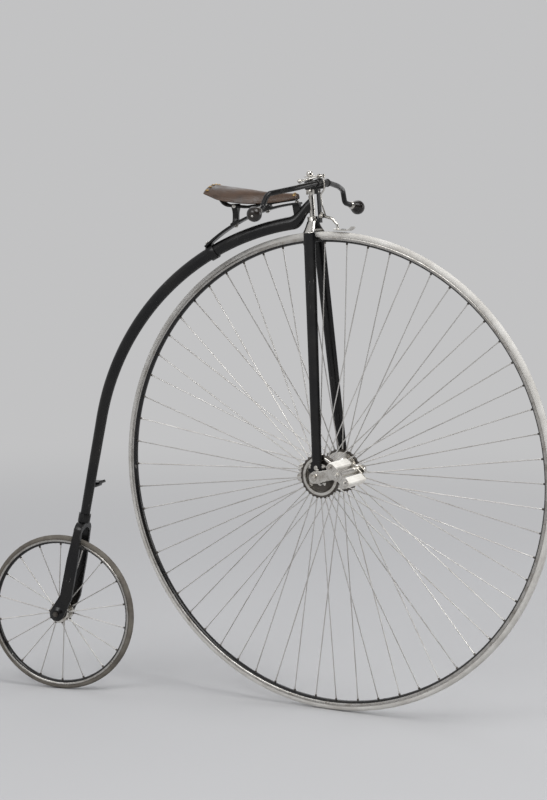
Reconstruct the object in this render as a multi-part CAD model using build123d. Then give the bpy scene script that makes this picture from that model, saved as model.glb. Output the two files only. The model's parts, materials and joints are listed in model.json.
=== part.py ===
from build123d import *
from math import asin, cos, radians, sin, sqrt
import os

# A high-wheel bicycle (ordinary) of the 1880s, in millimetres.
# X points forward, Y to the rider's left, Z up. The origin is the seat point on the saddle.
# Most positions are first given from the ground under the front hub, and shifted at the end.
# The steered pieces are made in the fork's own axes: f forward, y left, a up along the steering
# axis, all counted from the middle of the front hub.

# Wheels
FRONT_RADIUS = 686.0
REAR_RADIUS = 232.0
WHEEL_BASE = 840.0
FRONT_TYRE = 22.0
REAR_TYRE = 19.0
FRONT_RIM_DEPTH = 19.0
REAR_RIM_DEPTH = 16.0
RIM_LIP = 3.2
FRONT_SPOKES = 60
REAR_SPOKES = 18
SPOKE_RADIUS = 1.6
SPOKE_END_GAP = 0.3
SPOKE_SPREAD_AT_RIM = 3.0

# Steering axis and fork
RAKE = 4.4
STEER_AT_REST = 11.0
RUNNING_FIT = 0.08
TYRE_CLEARANCE = 7.5
BLADE_TOP_Y = 26.0
BLADE_END_Y = 78.0
BLADE_TOP_SIZE = (37.0, 17.0)
BLADE_END_SIZE = (30.0, 13.0)
BLADE_FOOT = 24.0
CROWN_DROP = 2.0
CROWN_HEIGHT = 32.0
CROWN_LIP = 1.8
CROWN_TOP_SIZE = (29.0, 20.0)
FORK_END_WIDTH = 14.0
FORK_END_WALL = 4.5
CASE_RADIUS = 18.5

# Head
BOSS_RADIUS = 15.0
BOSS_HEIGHT = 11.0
COLUMN_FRONT = 26.5
COLUMN_DEPTH = 5.5
COLUMN_WIDTH = 14.0
HEAD_LENGTH = 88.0
HEAD_PLATE = 13.0
PIVOT_RADIUS = 6.0
SPINDLE_RADIUS = 8.0
PIVOT_GAP = 3.0
LUG_HEIGHT = 26.0
LUG_WALL = 2.5
NECK_HEIGHT = 44.0
NECK_WIDTH = 18.0

# Front hub, cranks and pedals
AXLE_RADIUS = 8.0
FLANGE_RADIUS = 61.0
FLANGE_OUTER_Y = 65.0
FLANGE_THICKNESS = 8.0
HUB_BARREL = 24.0
CRANK_INNER_Y = 88.0
CRANK_THICKNESS = 13.0
CRANK_THROW = 140.0
CRANK_ANGLE = 13.0
CRANK_BOSS = 16.0
CRANK_TIP = 13.5
CRANK_OVERHANG = 10.5
SLOT_WIDTH = 11.0
SLOT_LENGTH = 46.0
PEDAL_SPINDLE = 6.0
PEDAL_PLATE_GAP = 11.0
PEDAL_WIDTH = 105.0
PEDAL_PLATE = 3.5
PEDAL_SPREAD = 60.0
PEDAL_TILT = 40.6
RUBBER_SIZE = (25.0, 21.0)

# Handlebar and brake
BAR_RADIUS = 7.5
BAR_FORWARD = 37.0
BAR_RISE = 16.0
HANDLE_RADIUS = 21.0
SPOON_CLEARANCE = 6.0
SPOON_WIDTH = 26.0
SPOON_THICKNESS = 3.0
SPOON_HOLLOW = 40.0
SPOON_HEEL = 84.2
SPOON_TOE = 81.2
SPOON_CURL = 62.0
BRAKE_PIVOT_Y = -12.0
BRAKE_ROD = 2.25
BRAKE_ARM = 4.0
LEVER_RADIUS = 3.5
LEVER_BALL = 6.5

# Backbone, rear fork and rear hub
BACKBONE_GAP = 12.5
BACKBONE_TOP_DIAMETER = 38.0
BACKBONE_MID_DIAMETER = 32.0
BACKBONE_END_DIAMETER = 28.0
BACKBONE_START = 99.5
BACKBONE_TURN = 169.0
REAR_CROWN_GAP = 52.7
REAR_BLADE_INNER_Y = 28.0
REAR_BLADE_THICKNESS = 9.0
REAR_AXLE_RADIUS = 5.0
REAR_BOSS_RADIUS = 22.0
REAR_KNEE = 55.0
REAR_KNEE_RADIUS = 18.5
REAR_FLANGE_RADIUS = 30.0
STEP_ABOVE_CROWN = 107.0
STEP_REACH = 78.0

# Spring and saddle
SPRING_THICKNESS = 6.0
SPRING_WIDTH = 38.0
SPRING_FOOT = 18.0
SEAT_BACK = 235.0
SEAT_LIFT = 118.0
LEATHER = 5.0
RAIL_RADIUS = 4.0
RAIL_Y = 12.0

SEAT = (-SEAT_BACK, 0.0, 2 * FRONT_RADIUS + SEAT_LIFT)
CROWN_FOOT = FRONT_RADIUS - CROWN_DROP
CROWN_TOP = CROWN_FOOT + CROWN_HEIGHT
HEAD_TOP = CROWN_TOP + HEAD_LENGTH
LUG_TOP = HEAD_TOP + LUG_HEIGHT
BAR_HEIGHT = HEAD_TOP + BAR_RISE

HUB = Vector(0, 0, FRONT_RADIUS)
REAR_HUB = Vector(-WHEEL_BASE, 0, REAR_RADIUS)
STEER_PLANE = Plane(
    origin=HUB - Vector(*SEAT),
    x_dir=(cos(radians(RAKE)), 0, sin(radians(RAKE))),
    z_dir=(-sin(radians(RAKE)), 0, cos(radians(RAKE))),
)
STEERED = STEER_PLANE.location * Location((0, 0, 0), (0, 0, -STEER_AT_REST))
UNSTEERED = STEER_PLANE.location
FRAME = Location(Vector(*SEAT) * -1)
SADDLE = Location(SEAT)
REAR_WHEEL = Location(REAR_HUB - Vector(*SEAT))


def polar(radius, angle):
    return radius * cos(radians(angle)), radius * sin(radians(angle))


def rod(start, end, radius, end_radius=None):
    start, end = Vector(*start), Vector(*end)
    plane = Plane(origin=start, z_dir=end - start)
    if end_radius is None or end_radius == radius:
        solid = Cylinder(radius, (end - start).length, align=(Align.CENTER, Align.CENTER, Align.MIN))
    else:
        solid = Cone(radius, end_radius, (end - start).length, align=(Align.CENTER, Align.CENTER, Align.MIN))
    return plane.location * solid


def across(y0, y1, radius, at=(0.0, 0.0), bore=0.0):
    """A round piece along Y between y0 and y1, at (x, z), with a bore where one is given."""
    low, high = min(y0, y1), max(y0, y1)
    ring = rod((at[0], low, at[1]), (at[0], high, at[1]), radius)
    if bore:
        ring -= rod((at[0], low - 1, at[1]), (at[0], high + 1, at[1]), bore)
    return ring


def side_slab(sketch, y0, y1):
    """Extrude a face drawn in XZ from y0 to y1."""
    low, high = min(y0, y1), max(y0, y1)
    face = Plane(origin=(0, low, 0), x_dir=(1, 0, 0), z_dir=(0, -1, 0)) * sketch
    return extrude(face, amount=-(high - low))


def side_plate(outline, y0, y1):
    """Extrude a closed XZ outline from y0 to y1."""
    return side_slab(make_face(outline), y0, y1)


def front_plate(outline, x0, x1):
    """Extrude a closed YZ outline from x0 to x1."""
    face = Plane(origin=(x0, 0, 0), x_dir=(0, 1, 0), z_dir=(1, 0, 0)) * make_face(outline)
    return extrude(face, amount=x1 - x0)


def spun(outline):
    """Revolve an outline drawn as (radius, y) about the Y axis."""
    return revolve(make_face(outline), Axis.Y, 360)


# Wheels

# The tyre's section has flat bands: the free ones show, and the rim's hollow follows the held ones
FREE_BANDS = 8
HELD_BANDS = 3
HELD_ANGLE = 120.0
RIM_BANDS = 8


def tyre_corners(radius, section, start, swing, bands):
    """Corners of the tyre's section, from a starting angle through a swing."""
    corners = [polar(section / 2, start + swing * i / bands) for i in range(bands + 1)]
    return [(radius - section / 2 + x, y) for x, y in corners]


def tyre(radius, section):
    edge = 180.0 - HELD_ANGLE / 2
    free = tyre_corners(radius, section, -edge, 2 * edge, FREE_BANDS)
    held = tyre_corners(radius, section, edge, HELD_ANGLE, HELD_BANDS)
    return spun(Polyline(*free, *held[1:-1], close=True))


def rim(radius, section, depth):
    """Crescent rim: the tyre lies in its hollow outer face."""
    centre = radius - section / 2
    hollow = tyre_corners(radius, section, 180.0 + HELD_ANGLE / 2, -HELD_ANGLE, HELD_BANDS)
    edge, seat_half = hollow[-1]
    half = seat_half + RIM_LIP
    belly = ThreePointArc((edge, half), (centre - depth, 0), (edge, -half))
    outer = [belly @ (i / RIM_BANDS) for i in range(RIM_BANDS + 1)]
    return spun(Polyline(*outer, *hollow, close=True))


SPOKE_SIDES = 8


def spokes(count, inner, outer, flange_y):
    """Radial spokes, laid by turns to the left and the right flange."""
    wire = RegularPolygon(SPOKE_RADIUS, SPOKE_SIDES)
    made = []
    for i in range(count):
        side = 1 if i % 2 else -1
        x, z = polar(1.0, 360.0 * (i + 0.5) / count)
        start = Vector(x * inner, side * flange_y, z * inner)
        run = Vector(x * outer, side * SPOKE_SPREAD_AT_RIM / 2, z * outer) - start
        made.append(extrude(Plane(origin=start, z_dir=run) * wire, amount=run.length))
    return made


FRONT_RIM_INNER = FRONT_RADIUS - FRONT_TYRE / 2 - FRONT_RIM_DEPTH
REAR_RIM_INNER = REAR_RADIUS - REAR_TYRE / 2 - REAR_RIM_DEPTH
FLANGE_MIDDLE_Y = FLANGE_OUTER_Y - FLANGE_THICKNESS / 2


def front_hub():
    """Spool-shaped hub with recessed flange faces, bored for the axle."""
    recess = 3.0
    boss = 2.0
    half = [
        (AXLE_RADIUS, FLANGE_OUTER_Y + boss),
        (20.0, FLANGE_OUTER_Y + boss),
        (22.0, FLANGE_OUTER_Y - recess),
        (46.0, FLANGE_OUTER_Y - recess),
        (48.0, FLANGE_OUTER_Y),
        (FLANGE_RADIUS, FLANGE_OUTER_Y),
        (FLANGE_RADIUS, FLANGE_OUTER_Y - FLANGE_THICKNESS),
        (HUB_BARREL + 12.0, FLANGE_OUTER_Y - FLANGE_THICKNESS - 2.0),
        (HUB_BARREL, FLANGE_OUTER_Y - FLANGE_THICKNESS - 14.0),
    ]
    points = half + [(r, -y) for r, y in reversed(half)]
    return spun(Polyline(*points, close=True))


def crank(side):
    """Slotted crank on the axle, as a flat bar with a round boss and a round tip."""
    inner, outer = side * CRANK_INNER_Y, side * (CRANK_INNER_Y + CRANK_THICKNESS)
    reach = CRANK_THROW + CRANK_OVERHANG
    taper = asin((CRANK_BOSS - CRANK_TIP) / reach)
    s, c = sin(taper), cos(taper)
    boss_x, boss_z = CRANK_BOSS * s, CRANK_BOSS * c
    tip_x, tip_z = reach + CRANK_TIP * s, CRANK_TIP * c
    bar = [
        Line((boss_x, boss_z), (tip_x, tip_z)),
        ThreePointArc((tip_x, tip_z), (reach + CRANK_TIP, 0), (tip_x, -tip_z)),
        Line((tip_x, -tip_z), (boss_x, -boss_z)),
        ThreePointArc((boss_x, -boss_z), (-CRANK_BOSS, 0), (boss_x, boss_z)),
    ]
    near, far = inner - side * 20, outer + side * 20
    arm = side_plate(bar, inner, outer)
    slot_end = reach + 1.0
    half = SLOT_WIDTH / 2
    for x in (slot_end - SLOT_LENGTH + half, slot_end - half):
        arm -= across(near, far, half, (x, 0))
    slot = Box(SLOT_LENGTH - SLOT_WIDTH, CRANK_THICKNESS + 10, SLOT_WIDTH)
    arm -= Pos(slot_end - SLOT_LENGTH / 2, (inner + outer) / 2, 0) * slot
    cotter = 4.0
    arm += Pos(AXLE_RADIUS + cotter + 1.0, (inner + outer) / 2, 0) * Cylinder(cotter, 2 * CRANK_BOSS + 9.0)
    return arm - across(near, far, AXLE_RADIUS)


def turned_crank(side):
    angle = CRANK_ANGLE - RAKE if side < 0 else CRANK_ANGLE - RAKE + 180.0
    return Location((0, 0, 0), (0, -angle, 0))


def pedal_place(side):
    return turned_crank(side) * Location((CRANK_THROW, 0, 0))


def pedal_pin(side):
    """Pin bolted through the crank's slot, with the spindle that the pedal turns on."""
    inner, outer = CRANK_INNER_Y, CRANK_INNER_Y + CRANK_THICKNESS
    collar = PEDAL_PLATE_GAP - 3.0
    pin = across(side * (inner - 6.5), side * inner, 9.0)
    pin += across(side * (inner - 6.5), side * (outer + 1), SLOT_WIDTH / 2 - 0.2)
    pin += across(side * outer, side * (outer + collar), 9.0)
    pin += across(side * outer, side * (outer + PEDAL_PLATE_GAP + PEDAL_WIDTH + 2.0), PEDAL_SPINDLE)
    return pin


PEDAL_INNER = CRANK_INNER_Y + CRANK_THICKNESS + PEDAL_PLATE_GAP
PEDAL_OUTER = PEDAL_INNER + PEDAL_WIDTH


def pedal_tilted(side):
    # The long side of the pedal dips to the front, counted in the fork's own axes
    return pedal_place(side) * turned_crank(side).inverse() * Location((0, 0, 0), (0, PEDAL_TILT + RAKE, 0))


def pedal_frame(side):
    """Two long end plates joined by the barrel that runs on the spindle."""
    half = PEDAL_SPREAD / 2
    end = 11.0
    outline = [
        Line((-half, end), (half, end)),
        ThreePointArc((half, end), (half + end, 0), (half, -end)),
        Line((half, -end), (-half, -end)),
        ThreePointArc((-half, -end), (-half - end, 0), (-half, end)),
    ]
    frame = side_plate(outline, side * PEDAL_INNER, side * (PEDAL_INNER + PEDAL_PLATE))
    frame += side_plate(outline, side * (PEDAL_OUTER - PEDAL_PLATE), side * PEDAL_OUTER)
    frame += across(side * PEDAL_INNER, side * (PEDAL_OUTER + 4.0), 9.5)
    frame += across(side * PEDAL_OUTER, side * (PEDAL_OUTER + 3.5), 15.0)
    frame -= across(side * (PEDAL_INNER - 1), side * (PEDAL_OUTER + 4.0 - 1.5), PEDAL_SPINDLE + RUNNING_FIT)
    frame += across(side * (PEDAL_OUTER + 2.5), side * (PEDAL_OUTER + 9.0), 7.5)
    return frame


def pedal_rubbers(side):
    """Two fluted rubber blocks between the end plates."""
    width, height = RUBBER_SIZE
    blocks = []
    for centre in (-PEDAL_SPREAD / 2, PEDAL_SPREAD / 2):
        face = RectangleRounded(width, height, 4.0)
        for x in (-width / 4, width / 4):
            for z in (-height / 2, height / 2):
                face -= Pos(x, z) * Circle(1.8)
        place = Plane(origin=(centre, side * (PEDAL_INNER + PEDAL_PLATE), 0), x_dir=(1, 0, 0), z_dir=(0, side, 0))
        blocks.append(extrude(place * face, amount=PEDAL_WIDTH - 2 * PEDAL_PLATE))
    return blocks


# Fork, head and controls, in the fork's axes

def fork_blade(side):
    """Oval blade that spreads towards the hub and ends in an arch over the bearing."""
    top = Pos(0, side * BLADE_TOP_Y, CROWN_FOOT) * Ellipse(BLADE_TOP_SIZE[0] / 2, BLADE_TOP_SIZE[1] / 2)
    end = Pos(0, side * BLADE_END_Y, BLADE_FOOT) * Ellipse(BLADE_END_SIZE[0] / 2, BLADE_END_SIZE[1] / 2)
    blade = loft([end, top])
    near, far = BLADE_END_Y - FORK_END_WIDTH / 2, BLADE_END_Y + FORK_END_WIDTH / 2
    arch_radius = CASE_RADIUS + FORK_END_WALL
    leg = 9.0
    land = BLADE_END_SIZE[0] / 2
    shoulder = polar(arch_radius, 20.0)
    arch = [
        Polyline((-arch_radius, 0), (-shoulder[0], shoulder[1]), (-land, BLADE_FOOT), (land, BLADE_FOOT)),
        Polyline((land, BLADE_FOOT), shoulder, (arch_radius, 0)),
        Polyline((arch_radius, 0), (arch_radius, -leg), (CASE_RADIUS, -leg), (CASE_RADIUS, 0)),
        ThreePointArc((CASE_RADIUS, 0), (0, CASE_RADIUS), (-CASE_RADIUS, 0)),
        Polyline((-CASE_RADIUS, 0), (-CASE_RADIUS, -leg), (-arch_radius, -leg), (-arch_radius, 0)),
    ]
    return blade + side_plate(arch, side * near, side * far)


def bearing_case(side):
    """Round bearing case held in the fork end, with an ear under each leg of the arch."""
    half = FORK_END_WIDTH / 2 + 0.5
    near, far = BLADE_END_Y - half, BLADE_END_Y + half
    case = across(side * near, side * far, CASE_RADIUS)
    ear_top, ear_low = -9.0, -16.0
    reach = CASE_RADIUS + FORK_END_WALL + 1.5
    for way in (-1, 1):
        ear = Pos(way * (reach + 8.0) / 2, side * BLADE_END_Y, (ear_top + ear_low) / 2)
        case += ear * Box(reach - 8.0, FORK_END_WIDTH - 2.0, ear_top - ear_low)
    return case - across(side * (near - 1), side * (far + 1), AXLE_RADIUS + RUNNING_FIT)


def crown_shoulder(side):
    """Bell that flares from the head down to the top of a blade."""
    length, width = BLADE_TOP_SIZE[0] / 2 + CROWN_LIP, BLADE_TOP_SIZE[1] / 2 + CROWN_LIP
    top_length, top_width = CROWN_TOP_SIZE[0] / 2, CROWN_TOP_SIZE[1] / 2
    top_y = 6.0
    waist_y = BLADE_TOP_Y - 5.5
    waist = (length + 2 * top_length) / 3
    foot = Pos(0, side * BLADE_TOP_Y, CROWN_FOOT) * Ellipse(length, width)
    middle = Pos(0, side * waist_y, CROWN_FOOT + CROWN_HEIGHT * 0.36) * Ellipse(waist, width - 1.2)
    top = Pos(0, side * top_y, CROWN_TOP) * Ellipse(top_length, top_width)
    return loft([foot, middle, top])


# Centre of the bracket that the spoon's arm turns on, in front of the column's foot
BRACKET = (COLUMN_FRONT + 4.5, CROWN_TOP + 13.0)
BRACKET_RADIUS = 7.0
BRACKET_GAP = 0.3


def fork_head():
    """Crown with two flared shoulders, and the open head that stands on it."""
    crown = crown_shoulder(-1) + crown_shoulder(1)
    crown -= across(-BLADE_TOP_Y, BLADE_TOP_Y, FRONT_RADIUS + TYRE_CLEARANCE)
    boss_top = CROWN_TOP + BOSS_HEIGHT
    head = crown + rod((0, 0, CROWN_TOP - 1), (0, 0, boss_top), BOSS_RADIUS)
    column_height = HEAD_TOP - CROWN_TOP + 6.0
    column = Box(COLUMN_DEPTH, COLUMN_WIDTH, column_height)
    head += Pos(COLUMN_FRONT - COLUMN_DEPTH / 2, 0, HEAD_TOP - column_height / 2) * column
    head += Pos(COLUMN_FRONT / 2, 0, CROWN_TOP + 1.0) * Box(COLUMN_FRONT, COLUMN_WIDTH, 8.0)
    head += across(-COLUMN_WIDTH / 2, COLUMN_WIDTH / 2, BRACKET_RADIUS, BRACKET)
    plate_low = HEAD_TOP - HEAD_PLATE
    head += rod((0, 0, plate_low), (0, 0, HEAD_TOP), BOSS_RADIUS - 1.5)
    bridge = Box(COLUMN_FRONT, COLUMN_WIDTH + 4.0, HEAD_PLATE)
    head += Pos(COLUMN_FRONT / 2, 0, HEAD_TOP - HEAD_PLATE / 2) * bridge
    head -= rod((0, 0, CROWN_TOP + 2.0), (0, 0, boss_top + 1), PIVOT_RADIUS + RUNNING_FIT)
    return head - rod((0, 0, plate_low - 1), (0, 0, HEAD_TOP + 1), PIVOT_RADIUS)


def handlebar_lug():
    """Lug on top of the head that holds the bar in front of it."""
    plate = make_hull([
        *Circle(17.0).edges(),
        *(Pos(BAR_FORWARD - 5.0, 0) * Circle(14.0)).edges(),
    ])
    lug = extrude(Pos(0, 0, HEAD_TOP) * plate, amount=LUG_HEIGHT)
    lug += across(-29.0, 29.0, BAR_RADIUS + LUG_WALL, (BAR_FORWARD, BAR_HEIGHT))
    lug += Pos(BAR_FORWARD, BRAKE_PIVOT_Y, BRAKE_PAD_TOP - 4.0) * Box(13.0, 13.0, 8.0)
    lug -= across(-30.0, 30.0, BAR_RADIUS, (BAR_FORWARD, BAR_HEIGHT))
    return lug - rod((0, 0, HEAD_TOP - 1), (0, 0, LUG_TOP + 1), PIVOT_RADIUS)


def head_bolt():
    """Adjusting bolt through the head's top, with its lock nut and acorn cap."""
    plate_low = HEAD_TOP - HEAD_PLATE
    bolt = rod((0, 0, plate_low - 3.0), (0, 0, LUG_TOP + 12.0), PIVOT_RADIUS)
    nut = extrude(Pos(0, 0, LUG_TOP + 0.5) * RegularPolygon(9.0, 6), amount=7.5)
    brim = LUG_TOP + 10.0
    dome, spring = 9.5, brim + 9.0
    bend = polar(dome, 45.0)
    cap = [
        Polyline((0, brim), (16.0, brim), (16.0, brim + 2.5), (dome, brim + 4.5), (dome, spring)),
        ThreePointArc((dome, spring), (bend[0], spring + bend[1]), (0, spring + dome)),
        Line((0, spring + dome), (0, brim)),
    ]
    return bolt + nut + revolve(Plane.XZ * make_face(cap), Axis.Z, 360)


# Top of the pad that the brake lever turns on
BRAKE_PAD_TOP = BAR_HEIGHT + 14.0

# Bar centre line on the left side, as (f, y, a)
BAR_HALF = [
    (BAR_FORWARD, 40.0, BAR_HEIGHT),
    (20.0, 125.0, BAR_HEIGHT - 10.0),
    (-15.0, 218.0, BAR_HEIGHT - 21.0),
    (-23.0, 240.0, BAR_HEIGHT - 58.0),
    (-19.2, 264.0, BAR_HEIGHT - 64.3),
]
BAR_BENDS = [60.0, 160.0, 14.0, 11.0]


def mirrored(point, side):
    return Vector(point[0], side * point[1], point[2])


def bar_path(side):
    points = [Vector(BAR_FORWARD, 0, BAR_HEIGHT)] + [mirrored(p, side) for p in BAR_HALF]
    return FilletPolyline(*points, radius=BAR_BENDS)


def handlebar():
    """One bar with both ends dropped and turned out into the grips."""
    halves = []
    for side in (-1, 1):
        path = bar_path(side)
        start = Plane(origin=path @ 0, z_dir=path % 0)
        halves.append(sweep(start * Circle(BAR_RADIUS), path=path))
    return halves[0] + halves[1]


def on_grip(side):
    end = mirrored(BAR_HALF[-1], side)
    return Plane(origin=end, z_dir=end - mirrored(BAR_HALF[-2], side)).location


def ferrule(side):
    """Plated ring between the bar and the grip."""
    ring = rod((0, 0, 0.2), (0, 0, 9.0), BAR_RADIUS + 1.5, BAR_RADIUS + 3.5)
    return on_grip(side) * ring


def handle(side):
    """Pear-shaped grip."""
    start, centre = 9.2, 36.0
    side_x, side_z = polar(HANDLE_RADIUS, 26.0)
    shoulder, belly = (side_x, centre - side_z), (side_x, centre + side_z)
    outline = [
        Line((0, start), (BAR_RADIUS + 3.0, start)),
        ThreePointArc((BAR_RADIUS + 3.0, start), (14.0, start + 10.0), shoulder),
        ThreePointArc(shoulder, belly, (0, centre + HANDLE_RADIUS)),
        Line((0, centre + HANDLE_RADIUS), (0, start)),
    ]
    return on_grip(side) * revolve(Plane.XZ * make_face(outline), Axis.Z, 360)


def bent_rod(line, bends, radius):
    """Round rod along straight runs joined by arcs."""
    path = FilletPolyline(*line, radius=bends)
    start = Plane(origin=path @ 0, z_dir=path % 0)
    return sweep(start * Circle(radius), path=path)


BRAKE_ROD_FORWARD = BAR_FORWARD + BAR_RADIUS + LUG_WALL + BRAKE_ROD + 0.5
BRAKE_ROD_TOP = BRAKE_PAD_TOP + 2.0


def spoon_section():
    """Section of the spoon: a shallow trough over the tyre, drawn as (radius, y)."""
    low = FRONT_RADIUS + SPOON_CLEARANCE
    half = SPOON_WIDTH / 2
    rows = []
    for hollow, middle in ((SPOON_HOLLOW, low), (SPOON_HOLLOW + SPOON_THICKNESS, low + SPOON_THICKNESS)):
        rows.append((middle - hollow + sqrt(hollow**2 - half**2), middle))
    (low_edge, low_middle), (high_edge, high_middle) = rows
    return make_face([
        ThreePointArc((low_edge, -half), (low_middle, 0), (low_edge, half)),
        Line((low_edge, half), (high_edge, half)),
        ThreePointArc((high_edge, half), (high_middle, 0), (high_edge, -half)),
        Line((high_edge, -half), (low_edge, -half)),
    ])


def brake_spoon():
    """Rod that comes down in front of the head, and the arm that holds the spoon over the tyre."""
    section = Location((0, 0, 0), (0, -SPOON_TOE, 0)) * spoon_section()
    spoon = revolve(section, Axis.Y, SPOON_TOE - SPOON_HEEL)
    bend = FRONT_RADIUS + SPOON_CLEARANCE + 20.0
    f, a = polar(bend, SPOON_TOE)
    spoon += revolve(section, Axis((f, 0, a), (0, 1, 0)), -SPOON_CURL)
    seat = FRONT_RADIUS + SPOON_CLEARANCE + SPOON_THICKNESS / 2
    heel_f, heel_a = polar(seat, SPOON_HEEL - 0.5)
    elbow = Vector(heel_f - 14.0, 0, BRACKET[1] - 10.0)
    pivot = Vector(BRACKET[0], 0, BRACKET[1])
    arm_start = pivot + (elbow - pivot).normalized() * (BRACKET_RADIUS + BRACKET_GAP)
    arm_line = [arm_start, elbow, (heel_f, 0, BRACKET[1] - 27.0), (heel_f + 2.0, 0, heel_a)]
    arm = bent_rod(arm_line, [14.0, 8.0], BRAKE_ARM)
    rod_line = [
        (BRAKE_ROD_FORWARD, BRAKE_PIVOT_Y, BRAKE_ROD_TOP),
        (BRAKE_ROD_FORWARD, BRAKE_PIVOT_Y, HEAD_TOP - 2.0),
        (COLUMN_FRONT + 7.0, -5.0, HEAD_TOP - 16.0),
        (COLUMN_FRONT + 7.5, -4.0, BRACKET[1] + 33.0),
        (arm_start.X + 4.5, -1.0, arm_start.Z),
    ]
    return spoon + arm + bent_rod(rod_line, [8.0, 8.0, 60.0], BRAKE_ROD)


def brake_lever():
    """Short hand lever that lies above the right half of the bar and ends in a ball."""
    height = BRAKE_PAD_TOP + 6.0
    line = [
        (BRAKE_ROD_FORWARD, BRAKE_PIVOT_Y, height),
        (BAR_FORWARD, BRAKE_PIVOT_Y - 2.0, height),
        (BAR_FORWARD - 6.0, BRAKE_PIVOT_Y - 40.0, height - 5.0),
        (24.5, -104.0, BAR_HEIGHT + 8.5),
    ]
    lever = bent_rod(line, [7.0, 90.0], LEVER_RADIUS)
    lever += Pos(*line[-1]) * Sphere(LEVER_BALL)
    lever += rod((BAR_FORWARD, BRAKE_PIVOT_Y, BRAKE_PAD_TOP), (BAR_FORWARD, BRAKE_PIVOT_Y, height + 5.5), 5.5)
    eye = (BRAKE_ROD_FORWARD, BRAKE_PIVOT_Y)
    return lever + rod((*eye, BRAKE_ROD_TOP + 0.2), (*eye, height + 4.5), 4.5)


# Backbone, rear fork and what they carry

BACKBONE_RADIUS = FRONT_RADIUS + BACKBONE_GAP + BACKBONE_TOP_DIAMETER / 2


def on_backbone(angle):
    """Plane across the backbone's curved part, its z axis pointing to the rear wheel."""
    x, z = polar(BACKBONE_RADIUS, angle)
    tangent = Vector(-sin(radians(angle)), 0, cos(radians(angle)))
    return Plane(origin=HUB + Vector(x, 0, z), x_dir=(0, 1, 0), z_dir=tangent)


TAIL_START = on_backbone(BACKBONE_TURN)


def tail_length():
    """Straight run from the curve's end that stops at a set gap from the rear tyre."""
    to_hub = REAR_HUB - TAIL_START.origin
    along = to_hub.dot(TAIL_START.z_dir)
    aside = sqrt(to_hub.length**2 - along**2)
    return along - sqrt((REAR_RADIUS + REAR_CROWN_GAP) ** 2 - aside**2)


BACKBONE_TAIL = tail_length()
REAR_CROWN = TAIL_START.origin + TAIL_START.z_dir * BACKBONE_TAIL
UP_TAIL = TAIL_START.z_dir * -1
REAR_PLANE = Plane(origin=REAR_CROWN, x_dir=Vector(0, 1, 0).cross(UP_TAIL), z_dir=UP_TAIL)


def backbone_straight():
    return rod(TAIL_START.origin, REAR_CROWN, BACKBONE_MID_DIAMETER / 2, BACKBONE_END_DIAMETER / 2)


def backbone():
    """Tapered tube: an arc round the front wheel, then a straight run down to the rear fork."""
    curve = ThreePointArc(
        on_backbone(BACKBONE_START).origin,
        on_backbone((BACKBONE_START + BACKBONE_TURN) / 2).origin,
        TAIL_START.origin,
    )
    top = on_backbone(BACKBONE_START) * Circle(BACKBONE_TOP_DIAMETER / 2)
    low = TAIL_START * Circle(BACKBONE_MID_DIAMETER / 2)
    return sweep([top, low], path=curve, multisection=True) + backbone_straight()


SPINDLE_LOW = CROWN_TOP + BOSS_HEIGHT + PIVOT_GAP
SPINDLE_TOP = HEAD_TOP - HEAD_PLATE - PIVOT_GAP - 0.3


def steering_spindle():
    """Spindle that the fork turns about, with its lower pivot in the crown."""
    spindle = rod((0, 0, SPINDLE_LOW), (0, 0, SPINDLE_TOP), SPINDLE_RADIUS)
    return spindle + rod((0, 0, CROWN_TOP + 3.0), (0, 0, SPINDLE_LOW), PIVOT_RADIUS)


# Neck sections between the tube and the spindle: share of the way forward, share of the rise,
# slope in degrees, width and height of the oval
NECK_SECTIONS = [
    (0.34, 0.21, 22.0, 33.0, 38.0),
    (0.655, 0.71, 25.0, 24.0, 30.0),
    (1.0, 1.0, 8.0, NECK_WIDTH, NECK_HEIGHT),
]


def neck_plane(f, a, slope):
    return Plane(origin=(f, 0, a), x_dir=(0, 1, 0), z_dir=(cos(radians(slope)), 0, sin(radians(slope))))


def neck():
    """Forging that sweeps up from the backbone's front end and carries the spindle."""
    lean = BACKBONE_START - 90.0 - RAKE
    tube_a, tube_f = polar(BACKBONE_RADIUS, lean)
    faces = [neck_plane(-tube_f, tube_a, lean) * Circle(BACKBONE_TOP_DIAMETER / 2)]
    front_f, front_a = -3.0, (SPINDLE_LOW + SPINDLE_TOP) / 2
    for forward, rise, slope, width, height in NECK_SECTIONS:
        f = -tube_f + forward * (front_f + tube_f)
        a = tube_a + rise * (front_a - tube_a)
        faces.append(neck_plane(f, a, slope) * Ellipse(width / 2, height / 2))
    return loft(faces) - rod((0, 0, SPINDLE_LOW - 5), (0, 0, SPINDLE_TOP + 5), SPINDLE_RADIUS)


# Where the rear blades meet their crown, below the backbone's end, and the crown's length there
REAR_BLADE_TOP = -30.0
REAR_CROWN_LENGTH = 24.0


def rear_fork_crown():
    """Bridge under the backbone's end that joins the two rear blades."""
    outer = REAR_BLADE_INNER_Y + REAR_BLADE_THICKNESS
    sleeve = rod((0, 0, 0), (0, 0, 26.0), BACKBONE_END_DIAMETER / 2 + 4.0)
    sleeve -= REAR_PLANE.location.inverse() * backbone_straight()
    neck_half, inner, low = BACKBONE_END_DIAMETER / 2, REAR_BLADE_INNER_Y, REAR_BLADE_TOP
    arch = [
        Line((outer, low), (outer, low + 8.0)),
        ThreePointArc((outer, low + 8.0), (outer - 9.0, -6.0), (neck_half, 0)),
        Line((neck_half, 0), (-neck_half, 0)),
        ThreePointArc((-neck_half, 0), (-outer + 9.0, -6.0), (-outer, low + 8.0)),
        Polyline((-outer, low + 8.0), (-outer, low), (-inner, low)),
        ThreePointArc((-inner, low), (0, -14.0), (inner, low)),
        Line((inner, low), (outer, low)),
    ]
    return sleeve + front_plate(arch, -REAR_CROWN_LENGTH / 2, REAR_CROWN_LENGTH / 2)


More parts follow.
